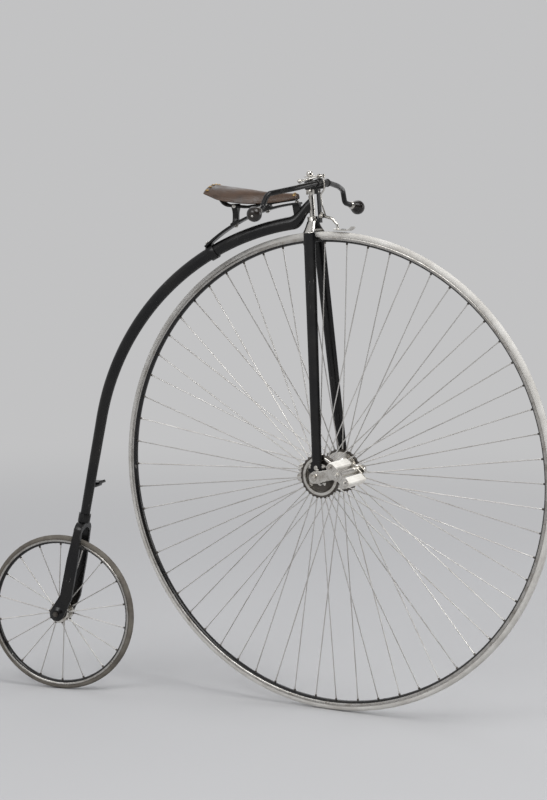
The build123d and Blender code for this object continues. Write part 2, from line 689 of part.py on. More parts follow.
def rear_fork_blade(side):
    """Broad flat blade that bends at a knee and reaches back to the rear axle."""
    hub = REAR_PLANE.to_local_coords(REAR_HUB)
    x, z = hub.X, hub.Z
    r = REAR_BOSS_RADIUS
    knee = Pos(x + 19.0, z + REAR_KNEE) * Circle(REAR_KNEE_RADIUS)
    thigh = Pos((x + 19.0) / 2, (z + REAR_KNEE) / 2) * Circle(REAR_KNEE_RADIUS - 1.0)
    top = Line((-REAR_CROWN_LENGTH / 2, REAR_BLADE_TOP), (REAR_CROWN_LENGTH / 2, REAR_BLADE_TOP))
    outline = make_hull([top, *thigh.edges(), *knee.edges()])
    outline += make_hull([*knee.edges(), *(Pos(x, z) * Circle(r)).edges()])
    inner, outer = REAR_BLADE_INNER_Y, REAR_BLADE_INNER_Y + REAR_BLADE_THICKNESS
    blade = side_slab(outline, side * inner, side * outer)
    blade += rod((x, side * outer, z), (x, side * (outer + 5.0), z), r - 1.0, r * 0.55)
    return blade - across(side * (inner - 1), side * (outer + 6), REAR_AXLE_RADIUS, (x, z))


def rear_axle():
    """Axle with a cone beside each blade and a nut outside it."""
    outer = REAR_BLADE_INNER_Y + REAR_BLADE_THICKNESS + 5.0
    axle = across(-outer - 8.0, outer + 8.0, REAR_AXLE_RADIUS)
    for side in (-1, 1):
        nut = Plane(origin=(0, side * outer, 0), x_dir=(1, 0, 0), z_dir=(0, side, 0)) * RegularPolygon(8.5, 6)
        axle += extrude(nut, amount=5.5)
        axle += across(side * (REAR_BLADE_INNER_Y - 2.5), side * REAR_BLADE_INNER_Y, 9.0)
    return axle


def rear_hub():
    half = [
        (REAR_AXLE_RADIUS + RUNNING_FIT, 24.5),
        (12.0, 24.5),
        (14.0, 22.0),
        (REAR_FLANGE_RADIUS, 21.0),
        (REAR_FLANGE_RADIUS, 16.0),
        (17.0, 14.0),
        (14.0, 8.0),
    ]
    points = half + [(r, -y) for r, y in reversed(half)]
    return spun(Polyline(*points, close=True))


# The spring's tail, middle and front end: angle round the front hub, height above the backbone's
# centre line
SPRING_POINTS = [
    (120.3, BACKBONE_TOP_DIAMETER / 2 + 0.3),
    (109.8, 42.6),
    (96.9, 49.0),
]


def spring_arc(lift):
    """The spring's line, lifted square to itself."""
    line = []
    for angle, height in SPRING_POINTS:
        x, z = polar(BACKBONE_RADIUS + height, angle)
        line.append((x, FRONT_RADIUS + z))
    arc = ThreePointArc(*line)
    points = []
    for t in (0, 0.5, 1):
        tangent = arc % t
        points.append((arc @ t) + Vector(-tangent.Y, tangent.X) * lift)
    return ThreePointArc(*points)


def spring_band(depth, half):
    """Curved band from the spring's top face down through a depth."""
    low, top = spring_arc(SPRING_THICKNESS - depth), spring_arc(SPRING_THICKNESS)
    outline = [low, Line(low @ 1, top @ 1), top, Line(top @ 0, low @ 0)]
    return side_plate(outline, -half, half)


def spring_foot():
    """Foot of the spring's front end, which reaches down into the neck."""
    end = spring_arc(0) @ 1
    outline = [(-22.0, -2.0), (-1.0, 0.5), (2.0, -18.0), (-16.0, -34.0)]
    corners = [(end.X + x, end.Y + z) for x, z in outline]
    return side_plate([Polyline(*corners, close=True)], -SPRING_FOOT / 2, SPRING_FOOT / 2)


def saddle_spring():
    """Flat leaf spring from its foot on the neck back to its clip on the backbone."""
    spring = spring_band(SPRING_THICKNESS, SPRING_WIDTH / 2) + spring_foot()
    return spring - FRAME.inverse() * UNSTEERED * neck()


def spring_clip():
    """Band round the backbone under the spring's tail."""
    plane = on_backbone(SPRING_POINTS[0][0] - 0.6)
    band = extrude(plane * Circle(BACKBONE_TOP_DIAMETER / 2 + 3.6), amount=11.0, both=True)
    return band - backbone() - saddle_spring()


# Saddle sections: place in front of the seat point, half width, height of the ridge above the seat
# point, drop of the skirt
SADDLE_SECTIONS = [
    (131.0, 19.0, -12.0, 16.0),
    (70.0, 27.0, -10.0, 27.0),
    (0.0, 62.0, 0.0, 38.0),
    (-70.0, 94.0, 6.0, 36.0),
    (-117.0, 90.0, 12.0, 24.0),
]


def saddle_section(x, half, ridge, drop):
    inner = half - LEATHER
    outline = [
        ThreePointArc((-half, ridge - drop), (0, ridge), (half, ridge - drop)),
        Line((half, ridge - drop), (inner, ridge - drop)),
        ThreePointArc((inner, ridge - drop), (0, ridge - LEATHER), (-inner, ridge - drop)),
        Line((-inner, ridge - drop), (-half, ridge - drop)),
    ]
    return Plane(origin=(x, 0, 0), x_dir=(0, 1, 0), z_dir=(1, 0, 0)) * make_face(outline)


def saddle_leather():
    """Leather top, hung between the nose and the broad back."""
    return SADDLE * loft([saddle_section(*row) for row in SADDLE_SECTIONS])


# Rail line from nose to back, as (x, z) from the seat point, and its bends
RAIL_LINE = [(125.0, -29.0), (85.0, -35.0), (-15.0, -52.0), (-83.0, -47.0), (-109.0, -6.0)]
RAIL_BENDS = [30.0, 60.0, 30.0]
PLATE_HALF = 58.0
PLATE_THICKNESS = 6.0
CLIP_LENGTH = 18.0
FRONT_CLIP = 45.0
REAR_CLIP = -50.0


def saddle_frame():
    """Two rails from the nose to the back plate."""
    nose_x, nose_z = RAIL_LINE[0]
    frame = Pos(nose_x + 2.0, 0, nose_z + 3.0) * Box(10.0, 2 * RAIL_Y, 14.0)
    for side in (-1, 1):
        line = [(x, side * RAIL_Y, z) for x, z in RAIL_LINE]
        frame += bent_rod(line, RAIL_BENDS, RAIL_RADIUS)
    plate_x, plate_z = RAIL_LINE[-1]
    plate = [
        ThreePointArc((-PLATE_HALF, plate_z + 4.0), (0, plate_z + 14.5), (PLATE_HALF, plate_z + 4.0)),
        Polyline((PLATE_HALF, plate_z + 4.0), (PLATE_HALF, plate_z - 8.0), (-PLATE_HALF, plate_z - 8.0),
                 (-PLATE_HALF, plate_z + 4.0)),
    ]
    frame += front_plate(plate, plate_x - 5.0, plate_x - 5.0 + PLATE_THICKNESS)
    return SADDLE * frame - saddle_leather()


def saddle_clip(forward):
    """Block between the rails and the spring, at a place in front of the seat point."""
    x = forward - SEAT_BACK
    spring = spring_arc(SPRING_THICKNESS)
    points = [spring @ (i / 60) for i in range(61)]
    below = min(points, key=lambda p: abs(p.X - x)).Y
    middle_x, middle_z = RAIL_LINE[2]
    low, top = below - CLIP_LENGTH / 2, SEAT[2] + middle_z + abs(forward - middle_x) * 0.17
    block = Pos(x, 0, (low + top) / 2) * Box(CLIP_LENGTH, 2 * RAIL_Y + 10.0, top - low)
    return block - saddle_frame() - spring_band(CLIP_LENGTH * 1.5, SPRING_WIDTH / 2)


def mounting_step():
    """Small step on the left of the backbone, above the rear wheel."""
    foot = TAIL_START.origin + TAIL_START.z_dir * (BACKBONE_TAIL - STEP_ABOVE_CROWN)
    tread = 46.0
    x, z = foot.X, foot.Z
    step = rod((x, BACKBONE_END_DIAMETER / 2 - 5.0, z), (x, STEP_REACH, z), 6.5)
    step += Pos(x, STEP_REACH + 1.0 - tread / 2, z + 7.5) * Box(34.0, tread, 5.0)
    return step - backbone_straight()


def write(name, shape, place):
    parts = shape if isinstance(shape, list) else [shape]
    solids = [solid.moved(place) for part in parts for solid in part.solids()]
    whole = solids[0] if len(solids) == 1 else Compound(children=solids)
    export_step(whole, f"parts/{name}.step")


def main():
    os.makedirs("parts", exist_ok=True)
    spoke_start, spoke_end = FLANGE_RADIUS + SPOKE_END_GAP, FRONT_RIM_INNER - SPOKE_END_GAP
    write("front_tyre", tyre(FRONT_RADIUS, FRONT_TYRE), STEERED)
    write("front_rim", rim(FRONT_RADIUS, FRONT_TYRE, FRONT_RIM_DEPTH), STEERED)
    write("front_spokes", spokes(FRONT_SPOKES, spoke_start, spoke_end, FLANGE_MIDDLE_Y), STEERED)
    write("front_hub", front_hub(), STEERED)
    axle_half = CRANK_INNER_Y + CRANK_THICKNESS + 2.0
    write("front_axle", across(-axle_half, axle_half, AXLE_RADIUS), STEERED)
    write("rear_tyre", tyre(REAR_RADIUS, REAR_TYRE), REAR_WHEEL)
    write("rear_rim", rim(REAR_RADIUS, REAR_TYRE, REAR_RIM_DEPTH), REAR_WHEEL)
    rear_start = REAR_FLANGE_RADIUS + SPOKE_END_GAP
    write("rear_spokes", spokes(REAR_SPOKES, rear_start, REAR_RIM_INNER - SPOKE_END_GAP, 18.5), REAR_WHEEL)
    write("rear_hub", rear_hub(), REAR_WHEEL)
    for name, side in (("right", -1), ("left", 1)):
        write(f"crank_{name}", crank(side), STEERED * turned_crank(side))
        write(f"pedal_pin_{name}", pedal_pin(side), STEERED * pedal_place(side))
        write(f"pedal_frame_{name}", pedal_frame(side), STEERED * pedal_tilted(side))
        write(f"pedal_rubbers_{name}", pedal_rubbers(side), STEERED * pedal_tilted(side))
        write(f"fork_blade_{name}", fork_blade(side), STEERED)
        write(f"bearing_case_{name}", bearing_case(side), STEERED)
        write(f"ferrule_{name}", ferrule(side), STEERED)
        write(f"handle_{name}", handle(side), STEERED)
        write(f"rear_fork_{name}", rear_fork_blade(side), FRAME * REAR_PLANE.location)
    write("fork_head", fork_head(), STEERED)
    write("handlebar_lug", handlebar_lug(), STEERED)
    write("head_bolt", head_bolt(), STEERED)
    write("handlebar", handlebar(), STEERED)
    write("brake_spoon", brake_spoon(), STEERED)
    write("brake_lever", brake_lever(), STEERED)
    write("backbone", backbone(), FRAME)
    write("neck", neck(), UNSTEERED)
    write("steering_spindle", steering_spindle(), UNSTEERED)
    write("rear_fork_crown", rear_fork_crown(), FRAME * REAR_PLANE.location)
    write("rear_axle", rear_axle(), REAR_WHEEL)
    write("saddle_spring", saddle_spring(), FRAME)
    write("spring_clip", spring_clip(), FRAME)
    write("saddle_leather", saddle_leather(), FRAME)
    write("saddle_frame", saddle_frame(), FRAME)
    write("saddle_clip_front", saddle_clip(FRONT_CLIP), FRAME)
    write("saddle_clip_rear", saddle_clip(REAR_CLIP), FRAME)
    write("mounting_step", mounting_step(), FRAME)


main()
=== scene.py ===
import bmesh
import bpy
import json
from math import acos, asin, copysign, cos, degrees, pi, radians, sin, sqrt, tan
from mathutils import Matrix, Vector


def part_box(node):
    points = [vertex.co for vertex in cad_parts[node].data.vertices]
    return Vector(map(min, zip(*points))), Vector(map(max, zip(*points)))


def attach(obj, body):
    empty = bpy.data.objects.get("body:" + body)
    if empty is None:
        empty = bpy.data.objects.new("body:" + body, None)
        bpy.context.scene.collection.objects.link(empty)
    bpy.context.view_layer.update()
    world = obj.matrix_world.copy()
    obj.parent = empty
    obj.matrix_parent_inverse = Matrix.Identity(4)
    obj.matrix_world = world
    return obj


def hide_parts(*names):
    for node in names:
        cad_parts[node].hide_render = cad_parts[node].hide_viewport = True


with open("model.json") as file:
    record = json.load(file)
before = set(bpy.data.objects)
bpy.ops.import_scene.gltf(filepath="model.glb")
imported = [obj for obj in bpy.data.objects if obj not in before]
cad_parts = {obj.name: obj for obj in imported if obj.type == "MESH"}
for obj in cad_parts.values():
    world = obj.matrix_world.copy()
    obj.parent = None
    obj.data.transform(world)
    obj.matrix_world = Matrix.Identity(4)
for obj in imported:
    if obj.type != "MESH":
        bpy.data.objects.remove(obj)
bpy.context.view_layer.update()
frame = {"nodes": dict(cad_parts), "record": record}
nodes = frame["nodes"]

# Places, in millimetres, as in the CAD: the frame's origin is the seat point
FRONT_RADIUS = 686.0
REAR_RADIUS = 232.0
WHEEL_BASE = 840.0
SEAT = Vector((-235.0, 0.0, 2 * FRONT_RADIUS + 118.0))
RAKE = 4.4
STEER_AT_REST = 11.0
HUB = Vector((0.0, 0.0, FRONT_RADIUS))
REAR_HUB = Vector((-WHEEL_BASE, 0.0, REAR_RADIUS))
GROUND = -SEAT.z
CROWN_TOP = FRONT_RADIUS + 30.0
HEAD_TOP = CROWN_TOP + 88.0
BAR_HEIGHT = HEAD_TOP + 16.0
BAR_FORWARD = 37.0
BLADE_END_Y = 78.0
FLANGE_RADIUS = 61.0
CRANK_THROW = 140.0
CRANK_ANGLE = 13.0
CRANK_INNER_Y = 88.0
CRANK_OUTER_Y = 101.0
PEDAL_TILT = 40.6
PEDAL_INNER = 112.0
PEDAL_OUTER = 217.0
PEDAL_SPREAD = 60.0
BACKBONE_GAP = 12.5
BACKBONE_TOP_DIAMETER = 38.0
BACKBONE_RADIUS = FRONT_RADIUS + BACKBONE_GAP + BACKBONE_TOP_DIAMETER / 2
MM = 0.001

FRAME_PLACE = Matrix.Translation(-SEAT)
REAR_PLACE = Matrix.Translation(REAR_HUB - SEAT)
UNSTEERED = Matrix.Translation(HUB - SEAT) @ Matrix.Rotation(radians(-RAKE), 4, "Y")
STEERED = UNSTEERED @ Matrix.Rotation(radians(-STEER_AT_REST), 4, "Z")
SIDES = (("right", -1), ("left", 1))


def crank_place(side):
    angle = CRANK_ANGLE - RAKE + (0.0 if side < 0 else 180.0)
    return STEERED @ Matrix.Rotation(radians(-angle), 4, "Y")


def pedal_place(side):
    centre = crank_place(side) @ Vector((CRANK_THROW, 0.0, 0.0))
    tilt = Matrix.Rotation(radians(PEDAL_TILT + RAKE), 4, "Y")
    return Matrix.Translation(centre) @ STEERED.to_3x3().to_4x4() @ tilt


# Camera, as the photograph was taken: lens in millimetres, place in metres and the way it looks
LENS = 101.25
CAMERA_PLACE = (2.130, -6.048, 0.069)
CAMERA_LOOK = (-0.3217, 0.9411, -0.1042)


def put(name, data):
    """New object in the scene."""
    thing = bpy.data.objects.new(name, data)
    bpy.context.scene.collection.objects.link(thing)
    return thing


def aim(thing, place, look):
    """Set a lamp or the camera at a place, looking along a direction."""
    thing.location = place
    thing.rotation_euler = Vector(look).to_track_quat("-Z", "Y").to_euler()


def make_camera():
    data = bpy.data.cameras.new("camera")
    data.sensor_width = 36.0
    data.lens = LENS
    data.clip_end = 60.0
    camera = put("camera", data)
    aim(camera, CAMERA_PLACE, CAMERA_LOOK)
    bpy.context.scene.camera = camera


make_camera()


# Materials
def new_material(name):
    material = bpy.data.materials.new(name)
    material.use_nodes = True
    tree = material.node_tree
    return material, tree, tree.nodes["Principled BSDF"]


def feed(tree, socket, value):
    """Link a node's output to a socket, or write a number, a vector or a colour on it."""
    if isinstance(value, bpy.types.NodeSocket):
        tree.links.new(value, socket)
    elif socket.type == "RGBA":
        socket.default_value = (*value, 1.0)
    else:
        socket.default_value = value


def dress(tree, node, values):
    """Feed a node's inputs by their names or numbers."""
    for key, value in values.items():
        feed(tree, node.inputs[key], value)


def object_point(tree):
    return tree.nodes.new("ShaderNodeTexCoord").outputs["Object"]


def noise(tree, scale, detail, roughness, stretch=None):
    """Noise in object space, where stretch scales the coordinates."""
    source = object_point(tree)
    if stretch:
        mapping = tree.nodes.new("ShaderNodeMapping")
        dress(tree, mapping, {"Vector": source, "Scale": stretch})
        source = mapping.outputs["Vector"]
    node = tree.nodes.new("ShaderNodeTexNoise")
    dress(tree, node, {"Vector": source, "Scale": scale, "Detail": detail, "Roughness": roughness})
    return node.outputs["Fac"]


def ramp(tree, value, stops):
    """Colour ramp with stops as (position, colour)."""
    node = tree.nodes.new("ShaderNodeValToRGB")
    for element, (position, colour) in zip(node.color_ramp.elements, stops):
        element.position = position
        element.color = (*colour, 1.0)
    tree.links.new(value, node.inputs["Fac"])
    return node.outputs["Color"]


def grey(value):
    return (value, value, value)


def greys(start, end, low=0.0, high=1.0):
    """Stops of a ramp from one grey to another."""
    return [(start, grey(low)), (end, grey(high))]


def mix(tree, factor, first, second):
    """Mix of two colours; each may be a node's output or a colour."""
    node = tree.nodes.new("ShaderNodeMix")
    node.data_type = "RGBA"
    dress(tree, node, {0: factor, 6: first, 7: second})
    return node.outputs[2]


def maths(tree, operation, *values):
    node = tree.nodes.new("ShaderNodeMath")
    node.operation = operation
    dress(tree, node, dict(enumerate(values)))
    return node.outputs[0]


def vector_maths(tree, operation, *values):
    """Result as a vector, or as a number where the operation gives one."""
    node = tree.nodes.new("ShaderNodeVectorMath")
    node.operation = operation
    dress(tree, node, dict(enumerate(values)))
    return node.outputs["Value" if operation in ("DOT_PRODUCT", "LENGTH") else "Vector"]


def fade_in(tree, value, start, end, interpolation="LINEAR"):
    """Factor that goes from 0 to 1 as the value goes from start to end."""
    node = tree.nodes.new("ShaderNodeMapRange")
    node.interpolation_type = interpolation
    dress(tree, node, {"Value": value, "From Min": start, "From Max": end})
    return node.outputs["Result"]


def blend_shaders(tree, output, factor, first, second):
    """Surface that goes from one shader to another with the factor."""
    choice = tree.nodes.new("ShaderNodeMixShader")
    dress(tree, choice, {0: factor, 1: first.outputs[0], 2: second.outputs[0]})
    tree.links.new(choice.outputs[0], tree.nodes[output].inputs["Surface"])


def bump(tree, shader, height, strength, distance):
    node = tree.nodes.new("ShaderNodeBump")
    dress(tree, node, {"Height": height, "Strength": strength, "Distance": distance})
    tree.links.new(node.outputs["Normal"], shader.inputs["Normal"])


def from_spindle(tree, direction):
    """Distance from the front wheel's middle, along one of the fork's own axes."""
    way = STEERED.to_3x3() @ Vector(direction)
    reach = vector_maths(tree, "DOT_PRODUCT", object_point(tree), way)
    return maths(tree, "SUBTRACT", reach, way.dot(STEERED.translation) * MM)


ENAMEL_TONES = ((0.0035, 0.0035, 0.0040), (0.012, 0.011, 0.0095))
CHIP_TONE = (0.30, 0.285, 0.26)
SCRAPE_TONE = (0.11, 0.105, 0.10)


def enamel_coat(tree):
    """Colour and roughness of old stove enamel: dull film, fine scratches and small bright chips."""
    film = ramp(tree, noise(tree, 7.0, 6.0, 0.6), greys(0.42, 0.74))
    base = mix(tree, film, *ENAMEL_TONES)
    chips = ramp(tree, noise(tree, 120.0, 3.0, 0.6, (1.0, 1.0, 0.35)), greys(0.705, 0.72))
    places = ramp(tree, noise(tree, 11.0, 2.0, 0.5), greys(0.52, 0.62))
    bare = maths(tree, "MULTIPLY", chips, places)
    worn = mix(tree, bare, base, CHIP_TONE)
    scratches = ramp(tree, noise(tree, 300.0, 2.0, 0.5, (1.0, 1.0, 0.03)), greys(0.66, 0.71, high=0.6))
    colour = mix(tree, maths(tree, "MULTIPLY", scratches, places), worn, SCRAPE_TONE)
    gloss = ramp(tree, noise(tree, 30.0, 5.0, 0.6), greys(0.34, 0.72, 0.16, 0.40))
    return colour, mix(tree, bare, gloss, grey(0.5))


def black_enamel(name):
    material, tree, shader = new_material(name)
    colour, gloss = enamel_coat(tree)
    dress(tree, shader, {"Base Color": colour, "Roughness": gloss, "Specular IOR Level": 0.34})
    bump(tree, shader, noise(tree, 90.0, 3.0, 0.5), 0.02, 0.0006)
    return material


PIT_TONE = (0.085, 0.070, 0.055)


def plated_surface(tree, tone, stain_tone, rough):
    """Colour and roughness of worn plating: brown stains, dark pits and dull patches."""
    stain = ramp(tree, noise(tree, 38.0, 7.0, 0.68), greys(0.47, 0.70, high=0.85))
    base = mix(tree, stain, tone, stain_tone)
    pits = ramp(tree, noise(tree, 620.0, 2.0, 0.6), greys(0.655, 0.72, high=0.6))
    dull = ramp(tree, noise(tree, 60.0, 5.0, 0.62), greys(0.34, 0.70, *rough))
    return mix(tree, pits, base, PIT_TONE), dull


def nickel(name, *tones):
    material, tree, shader = new_material(name)
    colour, dull = plated_surface(tree, *tones)
    dress(tree, shader, {"Base Color": colour, "Roughness": dull, "Metallic": 1.0})
    bump(tree, shader, noise(tree, 380.0, 3.0, 0.5), 0.04, 0.0004)
    return material


def spoke_steel(name):
    """Drawn and plated wire: smooth, with long dull stretches."""
    material, tree, shader = new_material(name)
    dull_film = ramp(tree, noise(tree, 9.0, 3.0, 0.5), greys(0.45, 0.72, high=0.6))
    colour = mix(tree, dull_film, (0.64, 0.625, 0.60), (0.38, 0.355, 0.32))
    dull = ramp(tree, noise(tree, 24.0, 3.0, 0.5), greys(0.36, 0.70, 0.32, 0.44))
    dress(tree, shader, {"Base Color": colour, "Roughness": dull, "Metallic": 1.0})
    return material


def plating_and_black(tree, shader, painted, *tones):
    """Plating where the factor is 0, and black where it is 1: black enamel, and painted shade where the
    callers lay it.
    """
    colour, dull = plated_surface(tree, *tones)
    coat, gloss = enamel_coat(tree)
    dress(tree, shader, {
        "Base Color": mix(tree, painted, colour, coat),
        "Roughness": mix(tree, painted, dull, gloss),
        "Metallic": mix(tree, painted, grey(1.0), grey(0.0)),
        "Specular IOR Level": 0.42,
    })


def shade_inside_crown(tree):
    """Factor that is 1 over the tyre, below lines that slope with the crown's two bells: the arch that is
    coloured black as painted shade.
    """
    bell_y, slope, edge = 28.0, 0.6, 0.4
    foot = (STEERED @ Vector((0.0, 0.0, FRONT_RADIUS - 2.0))).z
    aside = maths(tree, "ABSOLUTE", from_spindle(tree, (0.0, 1.0, 0.0)))
    axes = tree.nodes.new("ShaderNodeSeparateXYZ")
    tree.links.new(object_point(tree), axes.inputs[0])
    total = maths(tree, "MULTIPLY_ADD", axes.outputs["Z"], slope, aside)
    limit = bell_y + slope * foot
    return fade_in(tree, total, limit * MM, (limit - edge) * MM)


def head_plating_and_shade(name):
    """Plated crown and head whose front column is enamelled black, and whose inner arch is black as painted
    shade.
    """
    material, tree, shader = new_material(name)
    column = fade_in(tree, from_spindle(tree, (1.0, 0.0, 0.0)), 15.6 * MM, 16.0 * MM)
    # Black where the front column is enamelled, and black as painted shade in the crown's inner arch
    painted = maths(tree, "MAXIMUM", column, shade_inside_crown(tree))
    plating_and_black(tree, shader, painted, *BRIGHT_NICKEL)
    return material


def rim_plating_and_shade(name, place, belly_edge):
    """Plated rim whose belly, nearest the hub, is black all round: a two-tone finish that also stands in as
    painted shade for the plated belly's dark side.
    """
    material, tree, shader = new_material(name)
    axis = (place.to_3x3() @ Vector((0.0, 1.0, 0.0))).normalized()
    arm = vector_maths(tree, "SUBTRACT", object_point(tree), place.translation * MM)
    reach = vector_maths(tree, "LENGTH", vector_maths(tree, "CROSS_PRODUCT", arm, axis))
    # Black belly all round: two-tone finish and painted shade for where the plated belly faces down
    painted = fade_in(tree, reach, (belly_edge + 0.2) * MM, (belly_edge - 0.2) * MM)
    plating_and_black(tree, shader, painted, (0.47, 0.455, 0.43), (0.24, 0.215, 0.18), (0.20, 0.42))
    bump(tree, shader, noise(tree, 380.0, 3.0, 0.5), 0.06, 0.0004)
    return material


def rubber(name, light, dark, grime, rough, scale):
    material, tree, shader = new_material(name)
    patches = ramp(tree, noise(tree, scale, 7.0, 0.62), [(0.36, light), (0.66, dark)])
    spots = ramp(tree, noise(tree, scale * 9.0, 4.0, 0.7), greys(0.56, 0.78, high=0.38))
    cracks = ramp(tree, noise(tree, scale * 22.0, 3.0, 0.5), greys(0.64, 0.72, high=0.30))
    colour = mix(tree, cracks, mix(tree, spots, patches, grime), grime)
    dress(tree, shader, {"Base Color": colour, "Roughness": rough, "Specular IOR Level": 0.3})
    bump(tree, shader, noise(tree, scale * 26.0, 4.0, 0.55), 0.12, 0.0006)
    return material


def leather(name):
    """Brown saddle hide: darker and lighter in patches, with scuffs, uneven gloss and a fine grain."""
    material, tree, shader = new_material(name)
    hide_tones = [(0.34, (0.022, 0.0125, 0.008)), (0.72, (0.088, 0.046, 0.024))]
    worn = ramp(tree, noise(tree, 13.0, 6.0, 0.6), hide_tones)
    scuffs = ramp(tree, noise(tree, 95.0, 4.0, 0.6, (0.3, 1.0, 1.0)), greys(0.60, 0.74, high=0.5))
    gloss = ramp(tree, noise(tree, 26.0, 4.0, 0.6), greys(0.35, 0.70, 0.30, 0.55))
    colour = mix(tree, scuffs, worn, (0.15, 0.095, 0.058))
    dress(tree, shader, {"Base Color": colour, "Roughness": gloss})
    grain = tree.nodes.new("ShaderNodeTexVoronoi")
    dress(tree, grain, {"Vector": object_point(tree), "Scale": 620.0})
    bump(tree, shader, grain.outputs["Distance"], 0.35, 0.0006)
    return material


def polished_black(name):
    """Turned grips of blackened horn, with faint streaks along the grain."""
    material, tree, shader = new_material(name)
    horn_tones = [(0.40, (0.006, 0.005, 0.0045)), (0.75, (0.026, 0.018, 0.013))]
    tone = ramp(tree, noise(tree, 30.0, 5.0, 0.6, (1.0, 0.3, 1.0)), horn_tones)
    gloss = ramp(tree, noise(tree, 55.0, 4.0, 0.6), greys(0.35, 0.70, 0.16, 0.34))
    dress(tree, shader, {"Base Color": tone, "Roughness": gloss})
    return material


# Plating as tone, stain and its least and greatest roughness
BRIGHT_NICKEL = ((0.66, 0.64, 0.60), (0.30, 0.265, 0.22), (0.09, 0.27))

# Finishes: what builds each and what it takes, such as tones and roughness, the scale of a rubber's patches,
# or a wheel's place and the radius at which the rim's black belly starts
FINISHES = {
    "black_enamel": (black_enamel,),
    "nickel": (nickel, *BRIGHT_NICKEL),
    "spoke_steel": (spoke_steel,),
    "front_rubber": (rubber, (0.66, 0.645, 0.61), (0.50, 0.48, 0.445), (0.22, 0.20, 0.18), 0.82, 14.0),
    "rear_rubber": (rubber, (0.17, 0.155, 0.13), (0.10, 0.088, 0.075), (0.055, 0.048, 0.04), 0.82, 22.0),
    "pedal_rubber": (rubber, (0.84, 0.82, 0.77), (0.72, 0.69, 0.63), (0.36, 0.33, 0.28), 0.70, 40.0),
    "leather": (leather,),
    "grip_black": (polished_black,),
    "head_plating_and_shade": (head_plating_and_shade,),
    "front_rim_plating_and_shade": (rim_plating_and_shade, STEERED, FRONT_RADIUS - 23.5),
    "rear_rim_plating_and_shade": (rim_plating_and_shade, REAR_PLACE, REAR_RADIUS - 19.0),
    # Dark nickel: tarnished plating, and painted shade on the front hub's dish
    "dark_nickel_and_shade": (nickel, (0.115, 0.105, 0.095), (0.045, 0.038, 0.03), (0.30, 0.55)),
    "brass": (nickel, (0.46, 0.31, 0.13), (0.17, 0.10, 0.045), (0.20, 0.45)),
}
MATERIALS = {name: build(name, *values) for name, (build, *values) in FINISHES.items()}

# Nodes whose finish is more than their slot's own material
SPECIAL_FINISH = {"fork_head": "head_plating_and_shade", "rear_axle": "dark_nickel_and_shade"}
slot_of = {row["node"]: row["material_slot"] for row in frame["record"]["subparts"]}
for node_name, node in nodes.items():
    node.data.materials.clear()
    node.data.materials.append(MATERIALS[SPECIAL_FINISH.get(node_name, slot_of[node_name])])


# Mesh helpers: shapes are drawn in millimetres in their own axes and put in place by a matrix
def add_piece(name, verts, faces, place, material, body, slot=None, stands_for=(), angle=35.0):
    mesh = bpy.data.meshes.new(name)
    work = bmesh.new()
    made = [work.verts.new(v) for v in verts]
    for face in faces:
        if len(set(face)) > 2:
            work.faces.new([made[i] for i in face])
    bmesh.ops.remove_doubles(work, verts=work.verts, dist=1e-3)
    bmesh.ops.dissolve_degenerate(work, edges=work.edges, dist=1e-4)
    bmesh.ops.recalc_face_normals(work, faces=work.faces)
    work.transform(Matrix.Scale(MM, 4) @ place)
    for edge in work.edges:
        edge.smooth = edge.calc_face_angle(0.0) < radians(angle)
    for face in work.faces:
        face.smooth = True
    work.to_mesh(mesh)
    work.free()
    piece = put(name, mesh)
    mesh.materials.append(MATERIALS[material])
    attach(piece, body)
    if stands_for:
        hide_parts(*stands_for)
    return piece


def facing(direction, at=(0, 0, 0)):
    """Matrix that turns +Z to a direction, at a point."""
    return Matrix.Translation(Vector(at)) @ Vector(direction).to_track_quat("Z", "Y").to_matrix().to_4x4()


Y_AXIS = facing((0, 1, 0))


